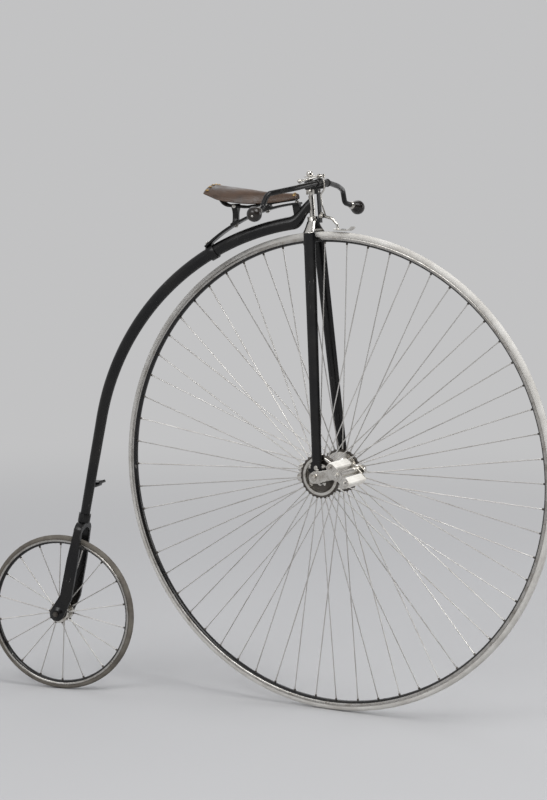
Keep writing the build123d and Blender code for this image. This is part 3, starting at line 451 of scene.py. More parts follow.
class Shape:
    """Vertices and faces that several simple forms are gathered in."""

    def __init__(self):
        self.verts = []
        self.faces = []

    def add(self, verts, faces, place=None):
        start = len(self.verts)
        for v in verts:
            point = Vector(v)
            self.verts.append(place @ point if place else point)
        self.faces.extend([tuple(start + i for i in face) for face in faces])
        return self

    def lathe(self, profile, segments, place=None, closed=True):
        """Revolve (radius, height) points about Z."""
        verts, faces = [], []
        n = len(profile)
        for i in range(segments):
            a = 2 * pi * i / segments
            verts.extend((r * cos(a), r * sin(a), z) for r, z in profile)
        for i in range(segments):
            j = (i + 1) % segments
            for k in range(n if closed else n - 1):
                m = (k + 1) % n
                faces.append((i * n + k, i * n + m, j * n + m, j * n + k))
        return self.add(verts, faces, place)

    def turned(self, profile, base, side, segments, place=Y_AXIS):
        """Revolve points that stand on a base, on the left side or, mirrored, on the right."""
        return self.lathe([(r, side * (base + z)) for r, z in profile], segments, place)

    def stack(self, rings, place):
        """Skin over rings with as many points each, both ends closed."""
        n = len(rings[0])
        faces = []
        for i in range(len(rings) - 1):
            for k in range(n):
                m = (k + 1) % n
                faces.append((i * n + k, i * n + m, (i + 1) * n + m, (i + 1) * n + k))
        faces.append(tuple(range(n))[::-1])
        faces.append(tuple(range((len(rings) - 1) * n, len(rings) * n)))
        return self.add([v for ring in rings for v in ring], faces, place)

    def sweep(self, points, radii, sides, place=None):
        """Round tube along points, with a radius at each, its ends closed."""
        points = [Vector(p) for p in points]
        turns = [2 * pi * k / sides for k in range(sides)]
        rings = []
        side = (points[1] - points[0]).normalized().orthogonal().normalized()
        for i, (point, radius) in enumerate(zip(points, radii)):
            before = points[max(i - 1, 0)]
            after = points[min(i + 1, len(points) - 1)]
            direction = (after - before).normalized()
            side = (side - direction * side.dot(direction)).normalized()
            up = direction.cross(side)
            rings.append([point + (side * cos(a) + up * sin(a)) * radius for a in turns])
        return self.stack(rings, place)

    def prism(self, outline, low, high, place, edge, steps=1):
        """Extrude an XY outline from low to high, its rims rounded in steps."""
        rings = []
        for i in range(steps + 1):
            a = pi / 2 * i / steps
            inset = shrink(outline, edge * (1 - sin(a)))
            rise = edge * (1 - cos(a))
            rings.insert(i, [(x, y, low + rise) for x, y in inset])
            rings.insert(len(rings) - i, [(x, y, high - rise) for x, y in inset])
        return self.stack(rings, place)

    def disc(self, radius, height, at, direction, edge, segments=32):
        """Round plate or stud that stands on a point, its far rim rounded."""
        shoulder = edge * 0.3
        profile = [(0, 0), (radius, 0), (radius, height - edge), (radius - shoulder, height - shoulder),
                   (radius - edge, height), (0, height)]
        return self.lathe(profile, segments, facing(direction, at), closed=False)

    def dome(self, radius, height, at, direction):
        """Low dome that stands on a point."""
        steps = 6
        turns = [pi / 2 * i / steps for i in range(steps + 1)]
        profile = [(0, 0)] + [(radius * cos(a), height * sin(a)) for a in turns]
        return self.lathe(profile, 24, facing(direction, at), closed=False)

    def nut(self, radius, height, at, direction, stud=0.0, turn=0.0):
        """Hexagon nut with cut corners on a washer, and the stud's rounded end where one shows."""
        place = facing(direction, at) @ Matrix.Rotation(radians(turn), 4, "Z")
        washer = 0.9
        self.disc(radius * 1.12, washer, at, direction, 0.3)
        hexagon = [(radius * cos(pi * k / 3), radius * sin(pi * k / 3)) for k in range(6)]
        self.prism(hexagon, washer, height, place, radius * 0.09)
        if stud:
            tip = Vector(at) + Vector(direction).normalized() * (height - 0.2)
            self.disc(radius * 0.52, stud, tip, direction, radius * 0.2, 20)
        return self

    def make(self, name, place, material, body, **more):
        return add_piece(name, self.verts, self.faces, place, material, body, **more)


def shrink(outline, amount):
    """Outline moved inwards by amount, for shapes without sharp inner corners."""
    n = len(outline)
    area = sum(a[0] * b[1] - b[0] * a[1] for a, b in zip(outline, outline[1:] + outline[:1]))
    way = 1.0 if area > 0 else -1.0
    moved = []
    for i in range(n):
        before, here, after = (Vector(outline[j % n]) for j in (i - 1, i, i + 1))
        a = (here - before).normalized()
        b = (after - here).normalized()
        normal = Vector((-(a.y + b.y), a.x + b.x)) * way
        if normal.length < 1e-9:
            moved.append(tuple(here))
            continue
        normal.normalize()
        side = Vector((-a.y, a.x)) * way
        moved.append(tuple(here + normal * amount / max(normal.dot(side), 0.4)))
    return moved


def arc(centre, radius, start, end, steps):
    """Points on a circle from start to end, in degrees."""
    return [
        (centre[0] + radius * cos(radians(start + (end - start) * i / steps)),
         centre[1] + radius * sin(radians(start + (end - start) * i / steps)))
        for i in range(steps + 1)
    ]


def rounded(points, radius, steps):
    """Corners of a closed outline rounded."""
    n = len(points)
    result = []
    for i in range(n):
        before, here, after = (Vector(points[j % n]) for j in (i - 1, i, i + 1))
        to_before, to_after = before - here, after - here
        reach = min(radius, to_before.length * 0.45, to_after.length * 0.45)
        first = here + to_before.normalized() * reach
        last = here + to_after.normalized() * reach
        for k in range(steps + 1):
            t = k / steps
            result.append(tuple(first * (1 - t) ** 2 + here * 2 * t * (1 - t) + last * t * t))
    return result


def rounded_box(width, height, radius, steps):
    """Outline of a rectangle about the middle, its corners rounded."""
    x, y = width / 2, height / 2
    return rounded([(-x, -y), (x, -y), (x, y), (-x, y)], radius, steps)


def smooth_line(points, steps):
    """Catmull-Rom curve through points, with as many steps between each two."""
    points = [Vector(p) for p in points]
    ends = [points[0] * 2 - points[1]] + points + [points[-1] * 2 - points[-2]]
    line = []
    for i in range(1, len(ends) - 2):
        p0, p1, p2, p3 = ends[i - 1:i + 3]
        for k in range(steps):
            t = k / steps
            line.append(0.5 * (2 * p1 + (p2 - p0) * t + (2 * p0 - 5 * p1 + 4 * p2 - p3) * t * t
                               + (3 * p1 - p0 - 3 * p2 + p3) * t ** 3))
    line.append(points[-1])
    return line


def bent_line(points, radii, steps):
    """Straight runs between points, with an arc of the given radius at each corner."""
    points = [Vector(p) for p in points]
    line = [points[0]]
    for i, radius in enumerate(radii, 1):
        back = (points[i - 1] - points[i]).normalized()
        on = (points[i + 1] - points[i]).normalized()
        half = back.angle(on) / 2
        middle = points[i] + (back + on).normalized() * radius / sin(half)
        first = points[i] + back * radius / tan(half) - middle
        turn = pi - 2 * half
        for k in range(steps + 1):
            a = turn * k / steps
            line.append(middle + first * cos(a) - back * radius * sin(a))
    line.append(points[-1])
    return line


def soften(names, width):
    """Small rounded edges on nodes of the CAD."""
    for name in names:
        weld = nodes[name].modifiers.new("weld", "WELD")
        weld.merge_threshold = 1e-6
        bevel = nodes[name].modifiers.new("bevel", "BEVEL")
        bevel.width = width * MM
        bevel.segments = 2
        bevel.limit_method = "ANGLE"
        bevel.angle_limit = radians(33.0)
        bevel.harden_normals = True


# Wheels: half angle that a rim wraps round its tyre, width of the rim's lip, and wear at the tyre's tread
RIM_WRAP = 60.0
RIM_LIP = 3.2
TREAD_WEAR = 0.35


def tyre_and_rim(name, place, radius, section, depth, segments):
    """Round tyre and the crescent rim that holds it; the result is the radius of the rim's belly."""
    body = f"{name}_wheel"
    seat = section / 2
    centre = radius - seat
    sides = 28
    profile = []
    for i in range(sides):
        a = 2 * pi * i / sides
        flat = TREAD_WEAR * max(0.0, cos(a) - 0.8) / 0.2
        profile.append((centre + (seat - flat) * cos(a), seat * sin(a)))
    tyre = Shape().lathe(profile, segments, Y_AXIS)
    tyre.make(f"{name}_tyre_rubber", place, f"{name}_rubber", body, stands_for=(f"{name}_tyre",))
    edge = centre - seat * cos(radians(RIM_WRAP))
    seat_half = seat * sin(radians(RIM_WRAP))
    half = seat_half + RIM_LIP
    # The belly's arc goes through both edges and the point nearest the hub
    rise = edge - (centre - depth)
    belly_radius = (half ** 2 + rise ** 2) / (2 * rise)
    belly_centre = centre - depth + belly_radius
    swing = degrees(asin(half / belly_radius))
    belly = arc((belly_centre, 0), belly_radius, 180 - swing, 180 + swing, 18)
    hollow = arc((centre, 0), seat + 0.05, 180 + RIM_WRAP, 180 - RIM_WRAP, 14)
    lip_end = [(edge + 0.8, -half + 0.9), (edge + 0.8, -seat_half - 0.7)]
    lip_start = [(edge + 0.8, seat_half + 0.7), (edge + 0.8, half - 0.9)]
    rim = Shape().lathe(belly + lip_end + hollow + lip_start, segments, Y_AXIS)
    rim.make(f"{name}_rim_crescent", place, f"{name}_rim_plating_and_shade", body,
             slot="black_enamel", stands_for=(f"{name}_rim",))
    return centre - depth


# Spokes: radius between their butts
SPOKE_RADIUS = 1.6


def spoke_set(wheel, place, count, inner, outer, flange_y, butt):
    """Butted spokes, laid by turns to the two flanges, with a collar at both ends."""
    body = f"{wheel}_wheel"
    wires = Shape()
    collars = Shape()
    for i in range(count):
        side = 1 if i % 2 else -1
        a = 2 * pi * (i + 0.5) / count
        start = Vector((cos(a) * inner, side * flange_y, sin(a) * inner))
        end = Vector((cos(a) * outer, side * 1.5, sin(a) * outer))
        way = (end - start).normalized()
        length = (end - start).length
        wire = [(-2.0, butt), (22.0, butt), (26.0, SPOKE_RADIUS), (length - 16.0, SPOKE_RADIUS),
                (length - 13.0, butt), (length + 2.5, butt)]
        hub_collar = [(-1.5, butt + 1.3), (1.6, butt + 1.3), (2.4, butt + 0.5)]
        rim_collar = [(-5.0, butt + 0.2), (-4.0, butt + 1.0), (1.5, butt + 1.2)]
        for shape, at, rings, sides in (
                (wires, start, wire, 8), (collars, start, hub_collar, 10), (collars, end, rim_collar, 10)):
            shape.sweep([at + way * d for d, r in rings], [r for d, r in rings], sides)
    name = f"{wheel}_spokes"
    wires.make(f"{name}_wire", place, "spoke_steel", body, stands_for=(name,), angle=50.0)
    collars.make(f"{name}_collars", place, "dark_nickel_and_shade", body, slot="spoke_steel", angle=50.0)


front_belly = tyre_and_rim("front", STEERED, FRONT_RADIUS, section=22.0, depth=19.0, segments=288)
rear_belly = tyre_and_rim("rear", REAR_PLACE, REAR_RADIUS, section=19.0, depth=16.0, segments=144)
spoke_set("front", STEERED, count=60, inner=FLANGE_RADIUS, outer=front_belly, flange_y=61.0, butt=2.1)
spoke_set("rear", REAR_PLACE, count=18, inner=30.0, outer=rear_belly, flange_y=18.5, butt=2.0)


# Front hub: turned body with a dished face whose floor is darkened as painted shade, and a darker ring where
# the spokes are screwed in
def front_hub():
    half = [
        (8.1, 66.6), (18.6, 67.0), (19.6, 66.4), (20.2, 62.0), (20.2, 57.6), (41.4, 57.0), (43.0, 57.4),
        (44.4, 59.0), (45.4, 61.6), (46.4, 64.2), (47.4, 65.0), (54.0, 65.0), (55.0, 64.4),
        (55.4, 63.0), (55.4, 58.0), (54.6, 56.6), (40.0, 55.2), (33.0, 52.6), (28.0, 47.6), (25.0, 41.0),
        (24.0, 32.0), (24.0, 16.0), (24.6, 14.6), (25.6, 14.0), (26.0, 12.6), (26.0, 6.0),
    ]
    profile = half + [(r, -y) for r, y in reversed(half)]
    hub = Shape().lathe(profile, 128, Y_AXIS)
    hub.make("hub_body", STEERED, "nickel", "front_wheel", stands_for=("front_hub",))
    ring = [(55.4, 64.4), (56.4, 64.9), (59.6, 64.9), (60.8, 64.2), (61.0, 63.0), (61.0, 58.4), (60.2, 57.2),
            (55.4, 57.0)]
    # Thin dark disc on the dish's floor: painted shade in the recess
    shaded_dish = [(20.2, 58.6), (21.0, 59.4), (22.0, 58.4), (38.4, 58.0), (39.6, 58.6), (40.8, 58.6), (41.8, 57.8),
            (43.2, 57.8), (43.6, 57.0), (20.2, 56.8)]
    collar = [(8.6, 0.0), (9.4, 0.9), (12.4, 0.9), (13.2, 0.0)]
    rings = Shape()
    ends = Shape()
    for side in (-1, 1):
        rings.turned(ring, 0.0, side, 128)
        rings.turned(shaded_dish, 0.0, side, 128)
        out = (0, side, 0)
        ends.disc(7.4, 2.0, (0, side * (CRANK_OUTER_Y + 1.4), 0), out, 1.2, 40)
        ends.dome(2.2, 1.4, (0, side * (CRANK_OUTER_Y + 3.0), 0), out)
        ends.turned(collar, CRANK_OUTER_Y, side, 48)
    rings.make("hub_spoke_rings_and_shaded_dish", STEERED, "dark_nickel_and_shade", "front_wheel", slot="nickel")
    ends.make("axle_ends", STEERED, "nickel", "front_wheel")
    oiler = Shape()
    oiler.disc(4.6, 3.0, (0, 0, 25.6), (0, 0, 1), 0.8)
    oiler.nut(3.4, 4.0, (0, 0, 28.0), (0, 0, 1))
    oiler.make("hub_oiler", STEERED, "nickel", "front_wheel")


front_hub()


# Cranks: cotters with their nuts, and the nut that holds each pedal pin in its slot
def crank_fittings():
    cotter_x = 13.0
    for name, side in SIDES:
        shape = Shape()
        middle = side * (CRANK_INNER_Y + CRANK_OUTER_Y) / 2
        shape.nut(6.8, 6.0, (cotter_x, middle, -16.2), (0, 0, -1), 3.0)
        shape.disc(4.6, 2.4, (cotter_x, middle, 19.8), (0, 0, 1), 1.0)
        shape.nut(10.2, 7.0, (CRANK_THROW, side * CRANK_INNER_Y, 0), (0, -side, 0), 3.0, 15.0)
        shape.disc(10.6, 3.0, (CRANK_THROW, side * CRANK_OUTER_Y, 0), (0, side, 0), 0.8, 40)
        shape.make(f"crank_fittings_{name}", crank_place(side), "nickel", "front_wheel")


crank_fittings()


# Pedals: fluted rubbers on rods that are riveted into the end plates
def rubber_outline(width, height, corner, flutes):
    """Rounded block section with shallow flutes along its faces."""
    deepest = 0.75
    outline = []
    box = rounded_box(width, height, corner, 6)
    n = len(box)
    lengths = [(Vector(box[(i + 1) % n]) - Vector(box[i])).length for i in range(n)]
    total = sum(lengths)
    steps = 16 * flutes
    for k in range(steps):
        target = total * k / steps
        i = 0
        while target > lengths[i]:
            target -= lengths[i]
            i += 1
        here, after = Vector(box[i]), Vector(box[(i + 1) % n])
        point = here + (after - here) * (target / lengths[i])
        wave = cos(2 * pi * k * flutes / steps)
        depth = deepest * max(0.0, wave) ** 0.6
        outline.append(tuple(point * (1 - depth / point.length)))
    return outline


def pedals():
    outline = rubber_outline(25.0, 21.0, 5.0, 12)
    cap = [(9.6, -3.0), (16.2, 0.2), (16.2, 2.6), (15.2, 3.6), (10.0, 4.0)]
    band = [(9.4, -2.2), (10.6, -1.6), (10.6, 1.6), (9.4, 2.2)]
    for name, side in SIDES:
        body = f"{name}_pedal"
        place = pedal_place(side)
        rubbers = Shape()
        metal = Shape()
        low, high = sorted((side * (PEDAL_INNER + 3.6), side * (PEDAL_OUTER - 3.6)))
        for centre in (-PEDAL_SPREAD / 2, PEDAL_SPREAD / 2):
            rubbers.prism(outline, low, high, Matrix.Translation((centre, 0, 0)) @ Y_AXIS, 1.6)
            for end, way in ((PEDAL_OUTER, side), (PEDAL_INNER, -side)):
                metal.nut(6.0, 4.6, (centre, side * end, 0), (0, way, 0), 2.4, 12.0 + centre)
        metal.turned(cap, PEDAL_OUTER, side, 48)
        metal.nut(8.4, 5.6, (0, side * (PEDAL_OUTER + 3.8), 0), (0, side, 0), 3.4)
        for along in (0.12, 0.88):
            y = side * (PEDAL_INNER + (PEDAL_OUTER - PEDAL_INNER) * along)
            metal.turned(band, y, 1, 48)
        rubbers.make(f"pedal_blocks_{name}", place, "pedal_rubber", body,
                     stands_for=(f"pedal_rubbers_{name}",), angle=60.0)
        metal.make(f"pedal_fittings_{name}", place, "nickel", body)


pedals()


# Fork ends: a black flange under each blade, the bolts that hold the bearing case, and its cap screw
def fork_ends():
    corners = [(-25.5, 14.0), (-25.5, 24.5), (-15.5, 28.5), (-13.5, 44.0), (13.5, 44.0), (15.5, 28.5),
               (25.5, 24.5), (25.5, 14.0), (19.0, 14.0), (14.0, 20.0), (-14.0, 20.0), (-19.0, 14.0)]
    outline = rounded(corners, 3.0, 4)
    bolt_x = 20.5
    for name, side in SIDES:
        y = side * BLADE_END_Y
        turn = Matrix(((1, 0, 0, 0), (0, 0, 1, y), (0, 1, 0, 0), (0, 0, 0, 1)))
        flange = Shape().prism(outline, -6.6, 6.6, turn, 1.2)
        flange.make(f"fork_flange_{name}", STEERED, "black_enamel", "steering")
        metal = Shape()
        for way in (-1, 1):
            metal.nut(6.3, 7.4, (way * bolt_x, y, 25.4), (0, 0, 1), 2.8, 10.0 * way)
            metal.nut(5.6, 5.6, (way * bolt_x, y, -16.2), (0, 0, -1), 3.0, 20.0 * way)
        metal.disc(6.4, 2.0, (0, side * (BLADE_END_Y + 6.4), 26.0), (0, side, 0), 0.7)
        for radius in (12.4, 16.6):
            bead = [(radius - 1.0, 0.0), (radius - 0.5, 0.9), (radius + 0.5, 0.9), (radius + 1.0, 0.0)]
            metal.turned(bead, BLADE_END_Y + 7.4, side, 64)
        metal.make(f"bearing_fittings_{name}", STEERED, "nickel", "steering")


fork_ends()


# Head: bolts on the brake bracket and column, and rings at the bar's lug
SLEEVE_PLACE = Matrix.Translation((BAR_FORWARD, 0, BAR_HEIGHT)) @ Y_AXIS


def head_fittings():
    metal = Shape()
    bolt_x = 31.0
    bolt_z = CROWN_TOP + 13.0
    metal.nut(5.6, 5.0, (bolt_x, -7.2, bolt_z), (0, -1, 0), 2.2)
    metal.nut(5.6, 4.4, (bolt_x, 7.2, bolt_z), (0, 1, 0), 2.2)
    metal.dome(5.2, 4.6, (bolt_x - 1.5, 0, bolt_z + 6.4), (0.15, 0, 1))
    for y in (-4.0, 4.0):
        metal.dome(2.6, 1.8, (26.6, y, HEAD_TOP - 7.0), (1, 0, 0))
    pivot_cup = [(15.0, 10.6), (16.0, 11.4), (16.0, 13.0), (9.0, 13.6), (8.4, 12.4)]
    metal.turned(pivot_cup, CROWN_TOP, 1, 64, None)
    metal.make("head_fittings", STEERED, "nickel", "steering")
    collars = Shape()
    collar = [(7.7, 29.2), (11.2, 29.2), (11.8, 30.2), (11.2, 32.8), (8.6, 34.0), (7.7, 34.0)]
    for side in (-1, 1):
        collars.turned(collar, 0.0, side, 48, SLEEVE_PLACE)
    collars.make("bar_collars", STEERED, "black_enamel", "steering")
    washer = Shape().turned([(6.4, 26.2), (11.4, 26.2), (11.8, 27.0), (6.4, 27.2)], HEAD_TOP, 1, 48, None)
    washer.make("head_washer", STEERED, "nickel", "steering")


head_fittings()


# Handlebar's left half from the bar's height, and the radii that it is bent to
BAR_RADIUS = 7.5
BAR_HALF = [
    (BAR_FORWARD, 0.0, 0.0),
    (BAR_FORWARD, 40.0, 0.0),
    (20.0, 125.0, -10.0),
    (-15.0, 218.0, -21.0),
    (-23.0, 240.0, -58.0),
    (-19.2, 264.0, -64.3),
]
BAR_BENDS = [60.0, 160.0, 26.0, 22.0]


def handlebar():
    half = bent_line(BAR_HALF, BAR_BENDS, 12)
    line = [Vector((p.x, -p.y, p.z)) for p in reversed(half[1:])] + half
    lift = Matrix.Translation((0, 0, BAR_HEIGHT))
    bar = Shape().sweep(line, [BAR_RADIUS] * len(line), 32, lift)
    bar.make("bar_tube", STEERED, "black_enamel", "steering", stands_for=("handlebar",))


handlebar()


def bar_lug():
    """Forged lug: a barrel round the spindle that runs forward into the bar's sleeve, and the lever's pad."""
    spindle_radius, front_radius, front = 17.0, 14.0, BAR_FORWARD - 5.0
    tilt = degrees(acos((spindle_radius - front_radius) / front))
    outline = arc((0, 0), spindle_radius, tilt, 360 - tilt, 32)
    outline += arc((front, 0), front_radius, -tilt, tilt, 24)
    shape = Shape().prism(outline, HEAD_TOP + 0.3, HEAD_TOP + 25.6, None, 4.0, 4)
    sleeve = [(7.55, 29.0), (9.0, 29.0), (10.0, 28.0), (10.0, -28.0), (9.0, -29.0), (7.55, -29.0)]
    shape.lathe(sleeve, 48, SLEEVE_PLACE)
    lever_side = Matrix.Translation((BAR_FORWARD, -12.0, BAR_HEIGHT))
    shape.prism(rounded_box(13.0, 13.0, 2.5, 4), 6.0, 14.0, lever_side, 0.8, 2)
    shape.make("bar_lug", STEERED, "black_enamel", "steering", stands_for=("handlebar_lug",), angle=40.0)


bar_lug()


# Grips: turned pears with a bead at the neck, a scored ring and a plated pin at the end
def bar_point(index, side):
    """Point that the bar is bent by, on the left or, mirrored, on the right."""
    x, y, z = BAR_HALF[index]
    return Vector((x, side * y, BAR_HEIGHT + z))


def grips():
    neck = [(0, 9.3), (10.2, 9.3), (11.2, 10.2), (11.5, 11.4), (11.0, 12.6), (10.7, 13.4), (11.6, 15.0)]
    pear = smooth_line([(11.6, 15.0, 0), (14.4, 20.0, 0), (18.2, 27.5, 0), (20.7, 34.5, 0), (20.9, 38.5, 0),
                        (19.6, 45.0, 0), (16.0, 51.0, 0), (10.5, 55.2, 0), (4.2, 56.7, 0)], 5)
    outline = neck + [(p.x, p.y) for p in pear[1:]]
    scored = [(r - 0.5 if abs(z - 29.5) < 0.9 else r, z) for r, z in outline]
    ferrule = [(7.6, 0.3), (8.8, 0.3), (9.4, 1.1), (9.2, 2.6), (10.0, 3.4), (11.4, 7.6), (11.6, 8.6),
               (11.0, 9.2), (7.6, 9.2)]
    for name, side in SIDES:
        at = bar_point(-1, side)
        place = STEERED @ facing(at - bar_point(-2, side), at)
        grip = Shape().lathe(scored + [(0, 56.9)], 72, closed=False)
        grip.make(f"grip_{name}", place, "grip_black", "steering", stands_for=(f"handle_{name}",), angle=40.0)
        metal = Shape().lathe(ferrule, 64)
        metal.dome(3.2, 1.2, (0, 0, 56.6), (0, 0, 1))
        metal.make(f"grip_fittings_{name}", place, "nickel", "steering", stands_for=(f"ferrule_{name}",))


grips()


# Saddle: hide in SADDLE_SECTIONS as place in front of the seat point, half width, ridge height, skirt's drop
SADDLE_SECTIONS = [
    (131.0, 18.5, -12.0, 15.0),
    (104.0, 21.0, -12.0, 21.0),
    (70.0, 26.5, -11.0, 27.0),
    (36.0, 40.0, -7.5, 33.0),
    (0.0, 62.0, -2.5, 38.0),
    (-36.0, 82.0, 2.0, 38.0),
    (-70.0, 93.5, 6.0, 35.5),
    (-98.0, 94.0, 9.5, 28.0),
    (-117.0, 89.0, 12.0, 23.5),
]
# Hide's thickness, depth of the sewn groove along its skirts and rounding of its edge
LEATHER = 4.6
GROOVE = 0.55
HEM = 0.9


def saddle_point(row, across, lift):
    """Point of the hide at a share across, from -1 to 1, moved out by lift."""
    x, half, ridge, drop = row
    bend = abs(across) ** 2.3
    y = across * half
    z = ridge - drop * bend
    slope = drop * 2.3 * abs(across) ** 1.3 / half
    normal = Vector((0.0, copysign(slope, across), 1.0)).normalized()
    return Vector((x, y, z)) + normal * lift


def saddle():
    rows = smooth_line(SADDLE_SECTIONS, 7)
    nose = rows[0]
    for k in (1, 2, 3):
        swing = pi / 2 * k / 3
        shut = 1 - cos(swing)
        rows.insert(0, Vector((nose.x + 7.0 * sin(swing), nose.y * (1 - 0.62 * shut), nose.z - 1.2 * k,
                               nose.w * (1 - 0.4 * shut))))
    fine = [1.0, 0.985, 0.965, 0.945, 0.93, 0.915, 0.90]
    across = [-a for a in fine] + [-0.84 + 0.07 * i for i in range(25)] + fine[::-1]
    verts, faces = [], []
    for layer in (0, 1):
        for row in rows:
            for share in across:
                edge = abs(share)
                groove = GROOVE if 0.925 < edge < 0.95 else 0.0
                lift = -groove if layer == 0 else -LEATHER
                if edge > 0.98:
                    lift += -HEM if layer == 0 else HEM
                verts.append(saddle_point(row, share, lift))
    n, m = len(across), len(rows)
    for layer in (0, 1):
        base = layer * n * m
        for i in range(m - 1):
            for k in range(n - 1):
                a = base + i * n + k
                faces.append((a, a + 1, a + n + 1, a + n))
    for i in range(m - 1):
        for k in (0, n - 1):
            a = i * n + k
            faces.append((a, a + n, a + n + n * m, a + n * m))
    for i in (0, m - 1):
        for k in range(n - 1):
            a = i * n + k
            faces.append((a, a + 1, a + 1 + n * m, a + n * m))
    hide = add_piece("saddle_hide", verts, faces, Matrix(), "leather", "frame",
                     stands_for=("saddle_leather",), angle=50.0)
    smoothing = hide.modifiers.new("subdivision", "SUBSURF")
    smoothing.levels = 1
    smoothing.render_levels = 1
    rivets = Shape()
    # Rivets: their section and distance from it, shares across, and the sizes of washer and head
    for row, shift, shares, washer, head, height in (
            (SADDLE_SECTIONS[-1], 7.0, [-0.84 + 0.28 * k for k in range(7)], 5.4, 3.9, 1.7),
            (SADDLE_SECTIONS[0], -4.0, (-0.62, 0.0, 0.62), 4.6, 3.2, 1.6)):
        row = Vector(row)
        row.x += shift
        for share in shares:
            at = saddle_point(row, share, 0.0)
            up = (saddle_point(row, share, 1.0) - at).normalized()
            rivets.disc(washer, 0.9, at - up * 0.3, up, 0.5, 28)
            rivets.dome(head, height, at + up * 0.5, up)
    rivets.make("saddle_rivets", Matrix(), "brass", "frame", slot="nickel")


saddle()


# Spring, saddle clips and bolts, from the ground under the front hub
def on_backbone(angle, lift, y=0.0):
    a = radians(angle)
    return Vector((cos(a) * (BACKBONE_RADIUS + lift), y, sin(a) * (BACKBONE_RADIUS + lift))) + HUB


def outward(angle):
    return Vector((cos(radians(angle)), 0.0, sin(radians(angle))))


# Leaf spring, by places on the backbone as angles from the front hub and distances off its middle line
SPRING_THICKNESS = 6.0
SPRING_LINE = (on_backbone(120.3, 19.3), on_backbone(109.8, 42.6), on_backbone(96.9, 49.0))


def spring_circle():
    """Middle and radius of the circle of the spring's lower face, through the points of its line."""
    a, b, c = (Vector((p.x, p.z)) for p in SPRING_LINE)
    d = 2 * ((b - a).x * (c - a).y - (b - a).y * (c - a).x)
    u, v = (b - a).length_squared, (c - a).length_squared
    middle = a + Vector(((c - a).y * u - (b - a).y * v, (b - a).x * v - (c - a).x * u)) / d
    return middle, (a - middle).length


def on_spring(forward, lift):
    """Point and outward direction of the spring at a place in front of the seat point."""
    middle, radius = spring_circle()
    x = SEAT.x + forward
    reach = radius + lift
    z = middle.y + sqrt(reach ** 2 - (x - middle.x) ** 2)
    way = Vector((x - middle.x, 0.0, z - middle.y)).normalized()
    return Vector((x, 0.0, z)), way


# Saddle clips: name, place in front of the seat point and height of the rails there
SADDLE_CLIPS = [("front", 45.0, -41.8), ("rear", -50.0, -49.4)]

# Turn of a drawing's X, Y and height to the object's Y, Z and X
ACROSS = Matrix(((0, 0, 1, 0), (1, 0, 0, 0), (0, 1, 0, 0), (0, 0, 0, 1)))


def saddle_clip(name, forward, rail):
    """Forged pillar from the spring up to both rails, waisted where it is tall."""
    low = on_spring(forward - 7.0, SPRING_THICKNESS)[0].z - 0.2
    top = SEAT.z + rail
    side = [(17.0, low), (17.0, low + 3.0)]
    if top - low > 30.0:
        side += [(10.0, low + 8.0), (8.0, low + 18.0), (8.5, top - 20.0), (13.0, top - 11.0)]
    side += [(18.6, top - 5.0), (18.6, top + 4.0), (14.0, top + 7.0), (9.0, top + 6.0), (4.0, top - 2.0)]
    outline = rounded(side + [(-y, z) for y, z in reversed(side)], 3.0, 4)
    shape = Shape().prism(outline, SEAT.x + forward - 8.0, SEAT.x + forward + 8.0, ACROSS, 1.8, 3)
    at, way = on_spring(forward, SPRING_THICKNESS - 0.3)
    foot = facing(way, at) @ Matrix.Rotation(radians(90), 4, "Z")
    shape.prism(rounded_box(26.0, 35.0, 4.0, 4), 0.0, 4.0, foot, 1.0, 2)
    shape.make(f"saddle_clip_{name}_forging", FRAME_PLACE, "black_enamel", "frame",
               stands_for=(f"saddle_clip_{name}",), angle=40.0)


for clip in SADDLE_CLIPS:
    saddle_clip(*clip)


def frame_fittings():
    metal = Shape()
    for y in (-13.0, 13.0):
        metal.nut(5.4, 5.0, on_backbone(119.6, 25.6, y), outward(112.0), 2.2)
    at, way = on_spring(133.0, SPRING_THICKNESS - 0.2)
    metal.nut(6.0, 4.6, at, way, 2.4)
    for name, forward, rail in SADDLE_CLIPS:
        below, way = on_spring(forward, 0.2)
        metal.nut(6.2, 5.0, below, -way, 2.6)
        for y in (-1, 1):
            metal.nut(5.0, 4.2, SEAT + Vector((forward, y * 18.3, rail)), (0, y, 0), 2.0)
    metal.make("frame_fittings", FRAME_PLACE, "nickel", "frame")


frame_fittings()


def step_teeth():
    """Small teeth along both edges of the step's tread."""
    low, high = (Vector(corner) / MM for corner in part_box("mounting_step"))
    middle = (low.x + high.x) / 2
    tread = 34.0
    run = 40.0
    count = 9
    tooth = [(-2.2, 0.0), (2.2, 0.0), (0.0, 3.2)]
    teeth = Shape()
    for way in (-1, 1):
        x = middle + way * (tread / 2 - 2.4)
        for k in range(count):
            at = (x, high.y - 3.0 - run * k / (count - 1), high.z - 0.4)
            teeth.prism(tooth, -1.6, 1.6, Matrix.Translation(at) @ ACROSS, 0.25)
    teeth.make("step_teeth", Matrix(), "black_enamel", "frame")


step_teeth()

# Nodes that are shown as the CAD has them, by the width of their softened edges in millimetres
soften(("rear_fork_right", "rear_fork_left", "rear_fork_crown"), 2.6)
soften(("fork_head", "mounting_step", "spring_clip", "saddle_spring"), 1.2)
soften(("crank_right", "crank_left", "bearing_case_right", "bearing_case_left", "pedal_frame_right",
        "pedal_frame_left", "head_bolt", "brake_spoon", "rear_axle", "rear_hub"), 0.7)


# Floor, light and backdrop: colours, and in metres the floor's half size and where it fades
SKY = (0.95, 0.96, 1.0)
SKY_STRENGTH = 0.50
BACKDROP = (0.54, 0.54, 0.545)
WINDOW_SIDE = (0.60, 0.60, 0.61)
DARK_SIDE = (0.05, 0.05, 0.052)
FLOOR = (0.50, 0.50, 0.503)
FLOOR_HALF = 60.0
FADE_START = 2.6
FADE_END = 6.5


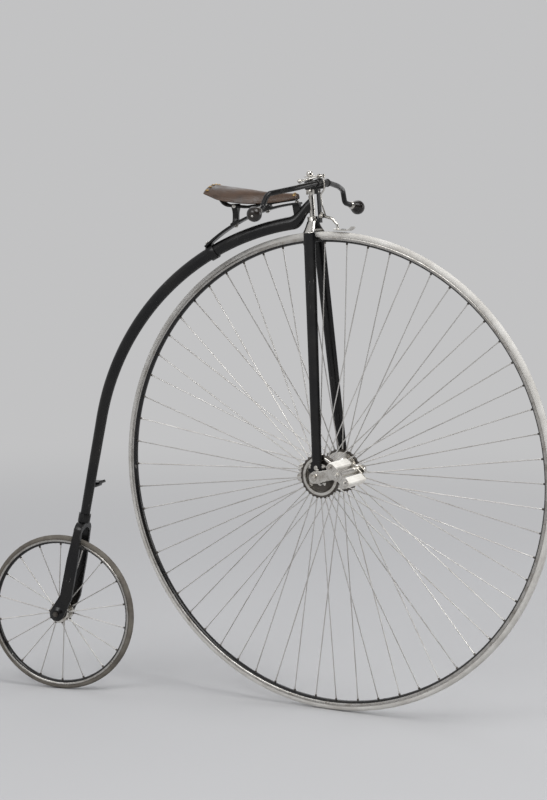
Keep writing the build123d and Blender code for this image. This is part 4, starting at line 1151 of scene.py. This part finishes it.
def make_world():
    """Soft light; the camera sees an even pale backdrop, and gloss sees it with the darker room opposite."""
    world = bpy.data.worlds.new("world")
    bpy.context.scene.world = world
    world.use_nodes = True
    tree = world.node_tree
    light = tree.nodes["Background"]
    dress(tree, light, {"Color": SKY, "Strength": SKY_STRENGTH})
    axes = tree.nodes.new("ShaderNodeSeparateXYZ")
    tree.links.new(tree.nodes.new("ShaderNodeTexCoord").outputs["Generated"], axes.inputs[0])
    room = ramp(tree, axes.outputs["X"], [(0.0, WINDOW_SIDE), (0.42, DARK_SIDE)])
    back = ramp(tree, axes.outputs["Y"], greys(0.05, 0.40))
    height = ramp(tree, axes.outputs["Z"], greys(0.30, 0.75))
    around = mix(tree, height, mix(tree, back, room, BACKDROP), room)
    rays = tree.nodes.new("ShaderNodeLightPath").outputs
    seen = rays["Is Camera Ray"]
    backdrop = tree.nodes.new("ShaderNodeBackground")
    dress(tree, backdrop, {"Color": mix(tree, seen, around, BACKDROP)})
    for name in ("Is Glossy Ray", "Is Transmission Ray"):
        seen = maths(tree, "MAXIMUM", seen, rays[name])
    blend_shaders(tree, "World Output", seen, light, backdrop)


def make_floor():
    """Pale floor that fades into the backdrop away from the object."""
    mesh = bpy.data.meshes.new("floor")
    corners = ((-1, -1), (1, -1), (1, 1), (-1, 1))
    mesh.from_pydata([(x * FLOOR_HALF, y * FLOOR_HALF, GROUND * MM) for x, y in corners], [], [(0, 1, 2, 3)])
    floor = put("floor", mesh)
    material, tree, shader = new_material("floor")
    dress(tree, shader, {"Base Color": FLOOR, "Roughness": 0.95, "Specular IOR Level": 0.0})
    reach = vector_maths(tree, "LENGTH", object_point(tree))
    glow = tree.nodes.new("ShaderNodeEmission")
    dress(tree, glow, {"Color": BACKDROP})
    fade = fade_in(tree, reach, FADE_START, FADE_END, "SMOOTHSTEP")
    blend_shaders(tree, "Material Output", fade, shader, glow)
    mesh.materials.append(material)


# Lamps: name, place in metres, size in metres, watts
LAMPS = [
    ("key", (4.3, -1.9, 6.4), 4.6, 400.0),
    ("fill", (-2.5, -8.8, 6.0), 5.5, 400.0),
    ("back", (-3.0, 7.0, 5.0), 5.0, 80.0),
    ("edge", (5.8, 2.8, 0.9), 2.2, 60.0),
]
LAMP_TARGET = Vector((0.0, 0.0, -0.7))


def make_lamps():
    for name, place, size, power in LAMPS:
        data = bpy.data.lights.new(name, "AREA")
        data.size = size
        data.energy = power
        light = put(name, data)
        light.visible_camera = False
        aim(light, place, LAMP_TARGET - Vector(place))


make_world()
make_floor()
make_lamps()

bpy.context.scene.view_settings.view_transform = "Standard"
